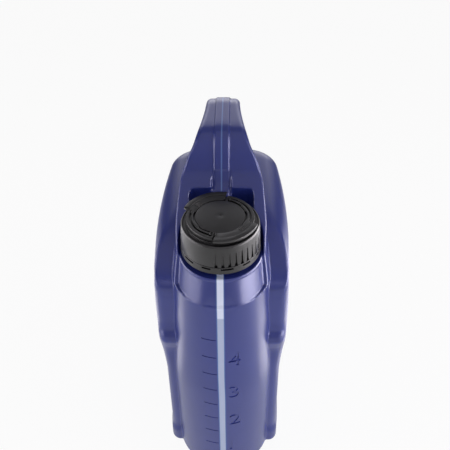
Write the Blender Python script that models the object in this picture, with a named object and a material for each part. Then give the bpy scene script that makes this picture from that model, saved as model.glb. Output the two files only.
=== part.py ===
"""Five-litre motor oil jug with a screw closure, a pull-out spout and a cap with two folding wings.

The jug stands on the floor at z = 0 with its narrow front, the column with the level strip, facing -Y.
The neck stands over the column, the handle runs back from it to the rear. Sizes are in metres.
"""

import math

import bmesh
import bpy
from mathutils import Matrix, Vector

MM = 0.001
FULL_TURN = 2.0 * math.pi

# Body of the jug, seen from the front: two cheeks with the column between them
BODY_WIDTH = 126.4 * MM
NECK_TO_FRONT = 48.6 * MM
NECK_TO_REAR = 160.0 * MM
CHEEK_FRONT = 14.0 * MM
CHEEK_CORNER = 20.0 * MM
REAR_CORNER = 26.0 * MM
SIDE_BOW = 0.19
BOW_LENGTH = 115.0 * MM
SHOULDER_SINK = 1.9 * MM
PANEL_INSET = 4.9 * MM
PANEL_STEP = 50.0 * MM
LIP_REACH = 6.0 * MM
PANEL_REACH = 3.0 * MM
BASE_RIM_HEIGHT = 22.0 * MM
BASE_RIM_REACH = 1.6 * MM
BASE_EDGE = 7.0 * MM
BASE_RECESS = 3.0 * MM
STANDING_WIDTH = 13.0 * MM
WALL = 1.5 * MM
GAP = 0.3 * MM

# Heights on the jug
COLUMN_HEIGHT = 249.5 * MM
SHOULDER_RISE = 25.0 * MM
CHEEK_DROP = 16.0 * MM
CROWN_RISE = 23.0 * MM
CROWN_REACH = 27.0 * MM
CROWN_FALL = 12.0 * MM
SHOULDER_SLOPE = 0.10
PANEL_TOP_DROP = 72.0 * MM

# Column and shoulder under the neck
SHOULDER_RADIUS = 43.4 * MM
COLLAR_RADIUS = 35.2 * MM
COLUMN_TAPER = 120.0 * MM

# Spine round the neck and the handle
RAIL_WIDTH = 80.8 * MM
RAIL_SLOPE = 0.70
NOTCH_BACK = 39.5 * MM
NOTCH_WIDTH = 56.0 * MM
NOTCH_CORNER = 5.0 * MM
HANDLE_RISE = 75.6 * MM
HANDLE_WIDTH = 32.0 * MM
HANDLE_DEPTH = 24.0 * MM
HANDLE_REAR_RADIUS = 40.0 * MM
HANDLE_EDGE = 5.0 * MM
GRIP_ROUNDING = 9.0 * MM
OPENING_FRONT = 70.0 * MM
OPENING_LEAN = 9.0 * MM
OPENING_CORNER = 14.0 * MM
RIB_WIDTH = 12.6 * MM
RIB_HEIGHT = 1.4 * MM
CHANNEL_WIDTH = 18.6 * MM
CHANNEL_DROP = 7.6 * MM
TONGUE_REACH = 2.3 * MM

# Neck finish
NECK_RADIUS = 29.6 * MM
NECK_HEIGHT = 30.5 * MM
NECK_BORE = 27.0 * MM
BEAD_REACH = 1.3 * MM
BEAD_HEIGHT = 2.4 * MM
BEAD_TOP = 9.8 * MM
POCKET_CLEARANCE = 3.3 * MM

# Closure that screws on the neck
SKIRT_THREAD_ROOM = 1.7 * MM
SKIRT_WALL = 1.7 * MM
SKIRT_HEIGHT = 20.2 * MM
SKIRT_FLARE = 0.9 * MM
TOP_PLATE = 2.4 * MM
TOP_CHAMFER = 1.2 * MM
GASKET_THICKNESS = 1.4 * MM
SLEEVE_WALL = 1.6 * MM
SLEEVE_LENGTH = 38.8 * MM
LIP_WIDTH = 2.0 * MM
BAND_HEIGHT = 7.0 * MM
BAND_SLIT_HEIGHT = 1.0 * MM
BAND_SLITS = 12
GRIP_GROOVES = 10
GROOVE_PITCH = math.radians(9.5)
GROOVE_DEPTH = 1.0 * MM
GROOVE_WIDTH_FOOT = 2.6 * MM
GROOVE_WIDTH_HEAD = 1.0 * MM
GROOVE_HEIGHT = 14.0 * MM

# Pull-out spout and its cap
SPOUT_RADIUS = 20.5 * MM
SPOUT_WALL = 1.6 * MM
SPOUT_FLANGE = 2.5 * MM
CAP_SKIRT_ROOM = 0.7 * MM
CAP_SKIRT_WALL = 1.4 * MM
CAP_SKIRT_LENGTH = 7.6 * MM
LINER_THICKNESS = 1.0 * MM
CAP_PLATE = 2.0 * MM
CAP_DISC_RADIUS = 20.8 * MM
CAP_DISC_RISE = 2.4 * MM
CAP_RIM_RADIUS = 28.3 * MM
CAP_RIM_WIDTH = 2.8 * MM
CAP_RIM_RISE = 1.6 * MM

# Folding wings: half rings in the cap's groove, each with a finger tab over the rim
WING_CLEARANCE = 0.4 * MM
WING_THICKNESS = 2.1 * MM
WING_TIP_RADIUS = 32.4 * MM
WING_HINGE_OFFSET = 2.2 * MM
WING_AXIS_ANGLE = math.radians(77.0)
WING_TAB_SPAN = math.radians(84.0)

# The oil in the jug
OIL_LEVEL_DROP = 13.2 * MM

ROUND_SEGMENTS = 48
CORNER_SEGMENTS = 6

# Places that follow from the sizes above
NECK_Y = (NECK_TO_FRONT - NECK_TO_REAR) / 2.0
NECK_FLOOR = COLUMN_HEIGHT + SHOULDER_RISE
NECK_TOP = NECK_FLOOR + NECK_HEIGHT
PLATE_UNDERSIDE = NECK_TOP + GAP + GASKET_THICKNESS + GAP
PLATE_TOP = PLATE_UNDERSIDE + TOP_PLATE
SKIRT_INNER = NECK_RADIUS + SKIRT_THREAD_ROOM
SKIRT_OUTER = SKIRT_INNER + SKIRT_WALL
SKIRT_FOOT = PLATE_UNDERSIDE - SKIRT_HEIGHT
SLEEVE_OUTER = NECK_BORE - WING_CLEARANCE
SLEEVE_INNER = SLEEVE_OUTER - SLEEVE_WALL
LIP_RADIUS = SLEEVE_INNER - LIP_WIDTH
CAP_UNDERSIDE = PLATE_TOP + WING_CLEARANCE
GROOVE_FLOOR = CAP_UNDERSIDE + CAP_PLATE
WING_AXIS_Z = GROOVE_FLOOR + GAP + WING_THICKNESS / 2.0
POCKET_RADIUS = SKIRT_OUTER + SKIRT_FLARE + POCKET_CLEARANCE
HANDLE_TOP = NECK_FLOOR + HANDLE_RISE
OIL_LEVEL = COLUMN_HEIGHT - OIL_LEVEL_DROP


def clear_scene():
    """Removes every object of the open file."""
    for old in list(bpy.data.objects):
        bpy.data.objects.remove(old)


def plastic(name, colour, roughness, metallic=0.0):
    """Returns a Principled material with a plain colour."""
    material = bpy.data.materials.new(name)
    material.use_nodes = True
    shader = material.node_tree.nodes["Principled BSDF"]
    shader.inputs["Base Color"].default_value = (*colour, 1.0)
    shader.inputs["Roughness"].default_value = roughness
    shader.inputs["Metallic"].default_value = metallic
    return material


def object_from_bmesh(name, mesh):
    """Turns a bmesh into an object in the scene, with its faces pointing out."""
    bmesh.ops.recalc_face_normals(mesh, faces=mesh.faces)
    data = bpy.data.meshes.new(name)
    mesh.to_mesh(data)
    mesh.free()
    made = bpy.data.objects.new(name, data)
    bpy.context.scene.collection.objects.link(made)
    return made


def loft(name, rings, closed=False):
    """Skins a list of rings of points; the ends are filled, or joined when the loft is closed."""
    mesh = bmesh.new()
    rows = [[mesh.verts.new(point) for point in ring] for ring in rings]
    count = len(rows[0])
    pairs = list(zip(rows, rows[1:]))
    if closed:
        pairs.append((rows[-1], rows[0]))
    else:
        mesh.faces.new(rows[0])
        mesh.faces.new(rows[-1])
    for low, high in pairs:
        for i in range(count):
            j = (i + 1) % count
            mesh.faces.new((low[i], low[j], high[j], high[i]))
    return object_from_bmesh(name, mesh)


def revolve(name, profile, segments=ROUND_SEGMENTS):
    """Turns a closed profile of (radius, height) points round the neck's axis."""
    rings = []
    for step in range(segments):
        angle = FULL_TURN * step / segments
        rings.append([polar(radius, angle, height) for radius, height in profile])
    return loft(name, rings, closed=True)


def solid_of_revolution(name, profile, segments=ROUND_SEGMENTS):
    """Turns an open profile of (radius, height) points and fills its two flat ends."""
    rings = []
    for radius, height in profile:
        turn = [FULL_TURN * step / segments for step in range(segments)]
        rings.append([polar(radius, angle, height) for angle in turn])
    return loft(name, rings)


def polar(radius, angle, height):
    """A point at a radius and an angle from +X about the neck's axis."""
    return Vector((radius * math.cos(angle), NECK_Y + radius * math.sin(angle), height))


def combine(target, tool, operation):
    """Applies a Boolean of the tool to the target, and removes the tool."""
    change = target.modifiers.new("combine", "BOOLEAN")
    change.operation = operation
    change.solver = "MANIFOLD"
    change.object = tool
    bpy.context.view_layer.update()
    graph = bpy.context.evaluated_depsgraph_get()
    result = bpy.data.meshes.new_from_object(target.evaluated_get(graph))
    target.modifiers.clear()
    target.data = result
    bpy.data.objects.remove(tool)
    return target


def blend(points, at):
    """Reads a line of straight pieces through (place, value) points."""
    if at <= points[0][0]:
        return points[0][1]
    for (x0, v0), (x1, v1) in zip(points, points[1:]):
        if at <= x1:
            return v0 + (v1 - v0) * (at - x0) / (x1 - x0)
    return points[-1][1]


def quarter(steps):
    """Angles of a quarter turn, both ends included."""
    return [math.pi / 2.0 * step / steps for step in range(steps + 1)]


def body_outline(half_width, front, rear, front_corner, rear_corner):
    """Plan outline of the cheeks: a rounded rectangle whose sides bow outwards."""
    half = []
    for angle in quarter(CORNER_SEGMENTS):
        x = half_width - front_corner * (1.0 - math.sin(angle))
        half.append((x, -front + front_corner * (1.0 - math.cos(angle))))
    side_start = -front + front_corner
    side_end = rear - rear_corner
    for step in range(1, 5):
        half.append((half_width, side_start + (side_end - side_start) * step / 5.0))
    for angle in quarter(CORNER_SEGMENTS):
        x = half_width - rear_corner * (1.0 - math.cos(angle))
        half.append((x, rear - rear_corner * (1.0 - math.sin(angle))))
    middle = rear - BOW_LENGTH
    bowed = [(x * (1.0 - SIDE_BOW * ((y - middle) / BOW_LENGTH) ** 2), y) for x, y in half]
    return bowed + [(-x, y) for x, y in reversed(bowed)]


def body_levels(offset):
    """Heights of the cheeks' rings with their half width, front, corner and share of the slope."""
    half = BODY_WIDTH / 2.0
    top = COLUMN_HEIGHT - CHEEK_DROP + CHEEK_DROP * 1.1
    panel_top = COLUMN_HEIGHT - PANEL_TOP_DROP
    panel = half - PANEL_INSET
    rim = panel + BASE_RIM_REACH
    front = CHEEK_FRONT
    levels = []
    for angle in quarter(3):
        inset = (BASE_EDGE - offset) * (1.0 - math.sin(angle))
        height = BASE_EDGE - (BASE_EDGE - offset) * math.cos(angle)
        levels.append((height, rim - inset, front + PANEL_REACH - inset, 0.0))
    levels += [
        (BASE_RIM_HEIGHT, rim, front + PANEL_REACH, 0.0),
        (BASE_RIM_HEIGHT + 5.0 * MM, panel, front + PANEL_REACH - BASE_RIM_REACH, 0.0),
        (panel_top - PANEL_STEP, panel, front + PANEL_REACH - BASE_RIM_REACH, 0.0),
        (panel_top - 0.5 * PANEL_STEP, panel + 0.45 * PANEL_INSET, front + PANEL_REACH - BASE_RIM_REACH, 0.1),
        (panel_top - 0.2 * PANEL_STEP, panel + 0.8 * PANEL_INSET, front + PANEL_REACH, 0.2),
        (panel_top, half - 0.1 * PANEL_INSET, front + LIP_REACH, 0.3),
        (panel_top + 0.15 * PANEL_STEP, half, front + 0.5 * LIP_REACH, 0.4),
        (panel_top + 0.4 * PANEL_STEP, half, front, 0.6),
        (top - 14.0 * MM, half - 0.4 * SHOULDER_SINK, front, 0.9),
    ]
    for step in range(6):
        angle = math.radians(15.0 * step)
        inset = SHOULDER_SINK + CROWN_REACH * (1.0 - math.cos(angle))
        height = top + (CROWN_RISE - offset) * math.sin(angle)
        levels.append((height, half - inset, front - 0.5 * (inset - SHOULDER_SINK), 1.0))
    return levels


def cheeks(offset):
    """Lofts the wide body, smaller by the offset on every side."""
    rings = []
    for height, half_width, front, slope in body_levels(offset):
        inset = BODY_WIDTH / 2.0 - half_width
        rear = NECK_TO_REAR - 0.75 * max(inset - PANEL_INSET, 0.0)
        outline = body_outline(half_width - offset, front - offset, rear - offset,
                               CHEEK_CORNER - offset, REAR_CORNER - offset)
        lean = SHOULDER_SLOPE * slope
        fall = CROWN_FALL * max(height - COLUMN_HEIGHT - 0.1 * CHEEK_DROP, 0.0) / CROWN_RISE
        rings.append([Vector((x, NECK_Y + y, height + lean * (y + CHEEK_FRONT) - fall * max(y, 0.0) / NECK_TO_REAR))
                      for x, y in outline])
    return loft("cheeks", rings)


def column(offset):
    """Lofts the half-round column at the front and the steep shoulder up to the neck's floor."""
    taper_end = COLUMN_HEIGHT - COLUMN_TAPER
    foot = 1.2 * offset
    levels = []
    for angle in quarter(3):
        inset = (BASE_EDGE - offset) * (1.0 - math.sin(angle))
        height = BASE_EDGE - (BASE_EDGE - foot) * math.cos(angle)
        levels.append((height, NECK_TO_FRONT - inset))
    growth = NECK_TO_FRONT - SHOULDER_RADIUS
    levels += [
        (taper_end, NECK_TO_FRONT),
        (taper_end + 0.35 * COLUMN_TAPER, NECK_TO_FRONT - 0.3 * growth),
        (taper_end + 0.70 * COLUMN_TAPER, NECK_TO_FRONT - 0.75 * growth),
        (COLUMN_HEIGHT, SHOULDER_RADIUS),
        (COLUMN_HEIGHT + 0.4 * SHOULDER_RISE, SHOULDER_RADIUS - 0.32 * (SHOULDER_RADIUS - COLLAR_RADIUS)),
        (COLUMN_HEIGHT + 0.8 * SHOULDER_RISE, SHOULDER_RADIUS - 0.72 * (SHOULDER_RADIUS - COLLAR_RADIUS)),
        (NECK_FLOOR - 1.2 * MM - 0.2 * offset, COLLAR_RADIUS),
        (NECK_FLOOR - offset, COLLAR_RADIUS - 1.4 * MM),
    ]
    rings = []
    for height, radius in levels:
        reach = radius - offset
        ring = []
        for step in range(2 * CORNER_SEGMENTS + 1):
            angle = math.pi + math.pi * step / (2 * CORNER_SEGMENTS)
            ring.append(polar(reach, angle, height))
        ring.append(Vector((reach, NECK_Y + NOTCH_BACK, height)))
        ring.append(Vector((-reach, NECK_Y + NOTCH_BACK, height)))
        rings.append(ring)
    return loft("column", rings)


def spine_top(y):
    """Height of the spine's top surface at a distance behind the neck's axis."""
    ledge = NECK_FLOOR + 38.6 * MM
    slope_foot = NOTCH_BACK + 10.5 * MM
    rise = HANDLE_TOP - RIB_HEIGHT - ledge
    rear_start = NECK_TO_REAR - HANDLE_REAR_RADIUS
    if y < NOTCH_BACK:
        return ledge - RAIL_SLOPE * (NOTCH_BACK - y)
    if y > rear_start:
        fall = min((y - rear_start) / HANDLE_REAR_RADIUS, 1.0)
        return HANDLE_TOP - RIB_HEIGHT - HANDLE_REAR_RADIUS * (1.0 - math.sqrt(1.0 - fall * fall))
    curve = [(NOTCH_BACK, 0.0), (slope_foot, 0.185), (slope_foot + 4.0 * MM, 0.335), (slope_foot + 12.0 * MM, 0.64),
             (slope_foot + 16.0 * MM, 0.765), (slope_foot + 20.0 * MM, 0.865), (slope_foot + 26.0 * MM, 0.955),
             (slope_foot + 33.0 * MM, 0.993), (slope_foot + 41.0 * MM, 1.0)]
    return ledge + rise * blend(curve, y)


def spine_half_width(y):
    """Half width of the spine: wide round the neck, narrowing to the handle."""
    rail = RAIL_WIDTH / 2.0
    grip = HANDLE_WIDTH / 2.0
    if y < 0.0:
        return math.sqrt(rail * rail - y * y)
    foot = NOTCH_BACK + 10.5 * MM
    root = rail - 4.8 * MM
    share = [(foot, 1.0), (foot + 4.0 * MM, 0.95), (foot + 7.0 * MM, 0.872), (foot + 10.0 * MM, 0.78),
             (foot + 12.0 * MM, 0.71), (foot + 16.0 * MM, 0.566), (foot + 20.0 * MM, 0.459), (foot + 26.0 * MM, 0.347),
             (foot + 32.0 * MM, 0.27), (foot + 41.0 * MM, 0.194), (foot + 55.0 * MM, 0.097), (foot + 69.0 * MM, 0.026)]
    if y < foot:
        return rail - 4.8 * MM * (y / foot) ** 1.3
    past_corner = max(y - (NECK_TO_REAR - HANDLE_EDGE), 0.0)
    rounding = HANDLE_EDGE - math.sqrt(HANDLE_EDGE ** 2 - past_corner ** 2)
    return grip + (root - grip) * blend(share, y) - rounding


def spine_stations():
    """Distances behind the neck's axis at which the spine has a section."""
    foot = NOTCH_BACK + 10.5 * MM
    places = [-20.0 * MM, -10.0 * MM, 0.0, 13.0 * MM, 26.0 * MM, NOTCH_BACK, NOTCH_BACK + 5.0 * MM]
    places += [foot + step * MM for step in (0.0, 4.0, 8.0, 12.0, 16.0, 20.0, 26.0, 33.0, 41.0, 55.0)]
    rear_start = NECK_TO_REAR - HANDLE_REAR_RADIUS
    places += [rear_start + HANDLE_REAR_RADIUS * math.sin(math.radians(degrees)) for degrees in (0, 18, 36, 52, 66, 78, 87)]
    return places


def opening_tool(offset):
    """The through cut under the handle, flared towards both sides so that the grip is rounded."""
    top = HANDLE_TOP - RIB_HEIGHT - HANDLE_DEPTH
    rear = NECK_TO_REAR - HANDLE_DEPTH + 2.0 * MM
    bottom = COLUMN_HEIGHT - 30.0 * MM
    edge = HANDLE_WIDTH / 2.0
    flares = [(-edge - 26.0 * MM, 1.35), (-edge - 4.0 * MM, 1.15), (-edge, 1.0)]
    for degrees in (60, 35, 15, 0):
        turn = math.radians(degrees)
        flares.append((-edge + GRIP_ROUNDING * (1.0 - math.sin(turn)), 1.0 - math.cos(turn)))
    flares += [(-x, share) for x, share in reversed(flares)]
    rings = []
    for x, share in flares:
        grow = offset + GRIP_ROUNDING * share
        corner = OPENING_CORNER + grow
        y0, y1 = OPENING_FRONT - grow, rear + grow
        z1 = top + grow
        ring = [(y0 - OPENING_LEAN * 0.2, bottom), (y1, bottom)]
        for angle in quarter(4):
            ring.append((y1 - corner * (1.0 - math.cos(angle)), z1 - corner * (1.0 - math.sin(angle))))
        for angle in quarter(4):
            ring.append((y0 + OPENING_LEAN + corner * (1.0 - math.sin(angle)), z1 - corner * (1.0 - math.cos(angle))))
        rings.append([Vector((x, NECK_Y + y, z)) for y, z in ring])
    return loft("opening_tool", rings)


def spine(offset):
    """Lofts the rails beside the neck, the slope behind it and the handle, with its central rib."""
    floor = COLUMN_HEIGHT - 40.0 * MM
    rings = []
    for y in spine_stations():
        half = spine_half_width(y) - offset
        top = spine_top(y) - offset
        place = NECK_Y + y
        if y > NECK_TO_REAR / 2.0:
            place -= offset * (y - NECK_TO_REAR / 2.0) / (NECK_TO_REAR / 2.0)
        else:
            place += offset * (NECK_TO_REAR / 2.0 - y) / (NECK_TO_REAR / 2.0)
        edge = HANDLE_EDGE - offset if y > NOTCH_BACK else 2.0 * MM - offset * 0.5
        rib_foot = RIB_WIDTH / 2.0 + 0.8 * MM - offset
        section = [(half, floor), (half, top - edge)]
        section += [(half - edge * (1.0 - math.cos(a)), top - edge * (1.0 - math.sin(a))) for a in (math.pi / 6, math.pi / 3)]
        section += [(half - edge, top), (rib_foot, top), (rib_foot - 1.2 * MM, top + RIB_HEIGHT)]
        section += [(-x, z) for x, z in reversed(section)]
        rings.append([Vector((x, place, z)) for x, z in section])
    body = loft("spine", rings)
    return combine(body, opening_tool(offset), "DIFFERENCE")


def channel_floor(y):
    """Height of the channel's floor, which carries the slope on through the ledge down to the notch."""
    head = NOTCH_BACK + 10.5 * MM
    lip = NOTCH_BACK - TONGUE_REACH
    deep = spine_top(NOTCH_BACK) - CHANNEL_DROP
    middle = spine_top(head) - 0.8 * CHANNEL_DROP
    return blend([(lip - 3.0 * MM, deep - 3.0 * MM), (lip, deep), (head - 4.5 * MM, middle), (head, spine_top(head)),
                  (head + 4.0 * MM, spine_top(head + 4.0 * MM))], y)


def tongue(offset):
    """The solid under the channel's floor, which stands in the middle of the notch as a ramp."""
    base = NECK_FLOOR - 5.0 * MM
    lip = NOTCH_BACK - TONGUE_REACH
    head = NOTCH_BACK + 10.5 * MM
    narrow = CHANNEL_WIDTH / 2.0 - offset
    wide = CHANNEL_WIDTH / 2.0 + offset + 3.0 * MM
    behind = NOTCH_BACK + offset
    stations = [(lip - 3.0 * MM, narrow), (lip, narrow), (behind + 0.1 * MM, narrow), (behind + 0.3 * MM, wide),
                (head - 4.5 * MM, wide), (head, wide), (head + 2.0 * MM, wide)]
    rings = []
    for y, half in stations:
        top = channel_floor(y) - offset
        rings.append([Vector((x, NECK_Y + y, z)) for x, z in ((half, base), (half, top), (-half, top), (-half, base))])
    return loft("tongue", rings)


def channel(offset):
    """The open box from which the tongue is taken, through the ledge behind the notch."""
    half = CHANNEL_WIDTH / 2.0 - 0.2 * MM + offset
    low = NECK_FLOOR + 6.0 * MM
    high = HANDLE_TOP + 18.0 * MM
    rings = []
    for y in (NOTCH_BACK - 8.0 * MM, NOTCH_BACK + 10.2 * MM + offset):
        rings.append([Vector((x, NECK_Y + y, z)) for x, z in ((half, low), (half, high), (-half, high), (-half, low))])
    return loft("channel", rings)


def pocket_tool(offset):
    """The round recess in which the closure turns, with its square notch at the back."""
    floor = NECK_FLOOR - offset
    top = HANDLE_TOP + 20.0 * MM
    radius = POCKET_RADIUS + offset
    well = solid_of_revolution("pocket_tool", [(radius, floor), (radius, top)])
    half = NOTCH_WIDTH / 2.0 + offset
    back = NOTCH_BACK + offset
    corner = NOTCH_CORNER + offset
    half_outline = [(half, 0.0)]
    half_outline += [(half - corner * (1.0 - math.cos(a)), back - corner * (1.0 - math.sin(a))) for a in quarter(4)]
    outline = half_outline + [(-x, y) for x, y in reversed(half_outline)]
    rings = [[Vector((x, NECK_Y + y, z)) for x, y in outline] for z in (floor, top)]
    notch = combine(loft("notch_tool", rings), channel(offset), "UNION")
    return combine(well, combine(notch, tongue(offset), "DIFFERENCE"), "UNION")


def base_tool(offset):
    """The shallow recess under the base, which leaves a flat ring to stand on."""
    half = BODY_WIDTH / 2.0 - PANEL_INSET - STANDING_WIDTH
    rings = []
    for height, inset in ((-MM, 0.0), (0.0, 0.0), (BASE_RECESS + offset, BASE_RECESS)):
        outline = body_outline(half - inset + offset, STANDING_WIDTH - inset + offset,
                               NECK_TO_REAR - STANDING_WIDTH - inset + offset, STANDING_WIDTH, STANDING_WIDTH)
        rings.append([Vector((x, NECK_Y + y, height)) for x, y in outline])
    return loft("base_tool", rings)


def jug_form(offset):
    """The blown form of the jug up to the neck's floor, smaller by the offset on every side."""
    form = cheeks(offset)
    form = combine(form, column(offset), "UNION")
    form = combine(form, spine(offset), "UNION")
    form = combine(form, pocket_tool(offset), "DIFFERENCE")
    return combine(form, base_tool(offset), "DIFFERENCE")


def neck():
    """The neck with the bead that holds the tamper band."""
    bead_top = NECK_FLOOR + BEAD_TOP
    bead = NECK_RADIUS + BEAD_REACH
    profile = [(NECK_RADIUS, NECK_FLOOR - WALL / 2.0), (NECK_RADIUS, bead_top - BEAD_HEIGHT), (bead, bead_top - 0.7 * BEAD_HEIGHT),
               (bead, bead_top - 0.3 * BEAD_HEIGHT), (NECK_RADIUS, bead_top), (NECK_RADIUS, NECK_TOP - 0.5 * MM),
               (NECK_RADIUS - 0.5 * MM, NECK_TOP)]
    return solid_of_revolution("neck", profile)


def make_bottle(material):
    """The jug as one hollow blown piece with an open neck."""
    bottle = combine(jug_form(0.0), neck(), "UNION")
    cavity = jug_form(WALL)
    bore = solid_of_revolution("bore", [(NECK_BORE, NECK_FLOOR - 12.0 * MM), (NECK_BORE, NECK_TOP + 5.0 * MM)])
    cavity = combine(cavity, bore, "UNION")
    combine(bottle, cavity, "DIFFERENCE")
    return finish(bottle, "bottle", material)


def make_oil(material):
    """The oil, which fills the jug up to its level."""
    oil = jug_form(WALL + GAP)
    lid = bmesh.new()
    bmesh.ops.create_cube(lid, size=1.0, matrix=Matrix.Translation((0.0, 0.0, OIL_LEVEL + 0.5)))
    combine(oil, object_from_bmesh("lid", lid), "DIFFERENCE")
    return finish(oil, "oil_fill", material)


def grip_grooves():
    """Tapered grooves of the two ribbed zones of the skirt, as one tool."""
    tool = None
    first = math.radians(-95.0)
    for zone in range(2):
        for step in range(GRIP_GROOVES):
            angle = first + zone * math.pi + step * GROOVE_PITCH
            rings = []
            for height, width in ((-MM, GROOVE_WIDTH_FOOT), (GROOVE_HEIGHT, GROOVE_WIDTH_HEAD)):
                z = SKIRT_FOOT + height
                outer = SKIRT_OUTER + 3.0 * MM
                inner = SKIRT_OUTER + SKIRT_FLARE * (1.0 - height / SKIRT_HEIGHT) - GROOVE_DEPTH
                half = width / 2.0 / inner
                rings.append([polar(inner, angle, z), polar(outer, angle - 1.6 * half, z), polar(outer, angle + 1.6 * half, z)])
            groove = loft("groove", rings)
            tool = groove if tool is None else join(tool, groove)
    return tool


def join(first, second):
    """Puts the second object's mesh into the first, as a separate shell."""
    mesh = bmesh.new()
    mesh.from_mesh(first.data)
    mesh.from_mesh(second.data)
    mesh.to_mesh(first.data)
    mesh.free()
    bpy.data.objects.remove(second)
    return first


def make_closure(material):
    """The screw closure: ribbed skirt, top plate with the stop lip, and the sleeve that guides the spout."""
    foot = SKIRT_FOOT
    profile = [
        (SKIRT_OUTER + SKIRT_FLARE, foot), (SKIRT_OUTER, PLATE_TOP - TOP_CHAMFER - TOP_CHAMFER),
        (SKIRT_OUTER - 0.6 * MM, PLATE_TOP - TOP_CHAMFER), (CAP_RIM_RADIUS + 0.7 * MM, PLATE_TOP),
        (LIP_RADIUS, PLATE_TOP), (LIP_RADIUS, PLATE_UNDERSIDE), (SLEEVE_INNER, PLATE_UNDERSIDE),
        (SLEEVE_INNER, PLATE_UNDERSIDE - SLEEVE_LENGTH), (SLEEVE_OUTER, PLATE_UNDERSIDE - SLEEVE_LENGTH),
        (SLEEVE_OUTER, PLATE_UNDERSIDE), (SKIRT_INNER, PLATE_UNDERSIDE), (SKIRT_INNER, foot),
    ]
    closure = revolve("closure", profile)
    combine(closure, grip_grooves(), "DIFFERENCE")
    return finish(closure, "closure", material)


def make_gasket(material):
    """The flat ring that seals the closure on the neck."""
    top = PLATE_UNDERSIDE - GAP
    inner = SLEEVE_OUTER + GAP
    outer = SKIRT_INNER - WING_CLEARANCE
    profile = [(inner, top - GASKET_THICKNESS), (outer, top - GASKET_THICKNESS), (outer, top), (inner, top)]
    return finish(revolve("neck_gasket", profile), "neck_gasket", material)


def make_band(material):
    """The tamper band that stays on the neck, with its lip under the bead and its slits."""
    top = SKIRT_FOOT - GAP
    foot = top - BAND_HEIGHT
    bead_bottom = NECK_FLOOR + BEAD_TOP - BEAD_HEIGHT
    lip_top = bead_bottom - GAP
    outer = SKIRT_OUTER + SKIRT_FLARE
    profile = [(outer, top), (outer + 0.4 * MM, foot + 0.5 * MM), (outer, foot), (NECK_RADIUS + 0.5 * MM, foot),
               (NECK_RADIUS + 0.5 * MM, lip_top), (SKIRT_INNER, lip_top), (SKIRT_INNER, top)]
    band = revolve("tamper_band", profile)
    tool = None
    for step in range(BAND_SLITS):
        middle = FULL_TURN * (step + 0.35) / BAND_SLITS
        half = FULL_TURN / BAND_SLITS * (0.30 if step % 2 else 0.22)
        low, high = top - 2.4 * BAND_SLIT_HEIGHT, top - 1.4 * BAND_SLIT_HEIGHT
        rings = []
        for angle in (middle - half, middle, middle + half):
            rings.append([polar(SKIRT_INNER - MM, angle, low), polar(outer + 2.0 * MM, angle, low),
                          polar(outer + 2.0 * MM, angle, high), polar(SKIRT_INNER - MM, angle, high)])
        slit = loft("slit", rings)
        tool = slit if tool is None else join(tool, slit)
    combine(band, tool, "DIFFERENCE")
    return finish(band, "tamper_band", material)


def make_spout(material):
    """The pull-out spout: a tube with a flange that stops under the closure's lip."""
    top = CAP_UNDERSIDE - 0.6 * MM
    foot = PLATE_UNDERSIDE - SLEEVE_LENGTH + GAP
    inner = SPOUT_RADIUS - SPOUT_WALL
    flange = SLEEVE_INNER - GAP
    profile = [(inner, foot), (flange, foot), (flange, foot + SPOUT_FLANGE), (SPOUT_RADIUS, foot + SPOUT_FLANGE),
               (SPOUT_RADIUS, top), (inner, top)]
    return finish(revolve("spout", profile), "spout", material)


def make_liner(material):
    """The sealing disc in the spout's cap."""
    low = CAP_UNDERSIDE - 0.6 * MM + GAP
    profile = [(CAP_DISC_RADIUS - 0.2 * MM, low), (CAP_DISC_RADIUS - 0.2 * MM, low + LINER_THICKNESS)]
    return finish(solid_of_revolution("spout_cap_liner", profile, 32), "spout_cap_liner", material)


def sector(name, inner, outer, low, high, start, end, steps):
    """A block between two radii, two heights and two angles."""
    rings = []
    for step in range(steps + 1):
        angle = start + (end - start) * step / steps
        rings.append([polar(inner, angle, low), polar(outer, angle, low), polar(outer, angle, high), polar(inner, angle, high)])
    return loft(name, rings)


def slab_across_hinges(name, near, far, low, high, length):
    """A block along the wings' axes, from one distance beside the cap's centre line to another."""
    along = Vector((math.cos(WING_AXIS_ANGLE), math.sin(WING_AXIS_ANGLE), 0.0))
    across = Vector((-along.y, along.x, 0.0))
    centre = Vector((0.0, NECK_Y, 0.0))
    rings = []
    for z in (low, high):
        corners = ((-length, near), (length, near), (length, far), (-length, far))
        rings.append([centre + along * a + across * b + Vector((0.0, 0.0, z)) for a, b in corners])
    return loft(name, rings)


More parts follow.
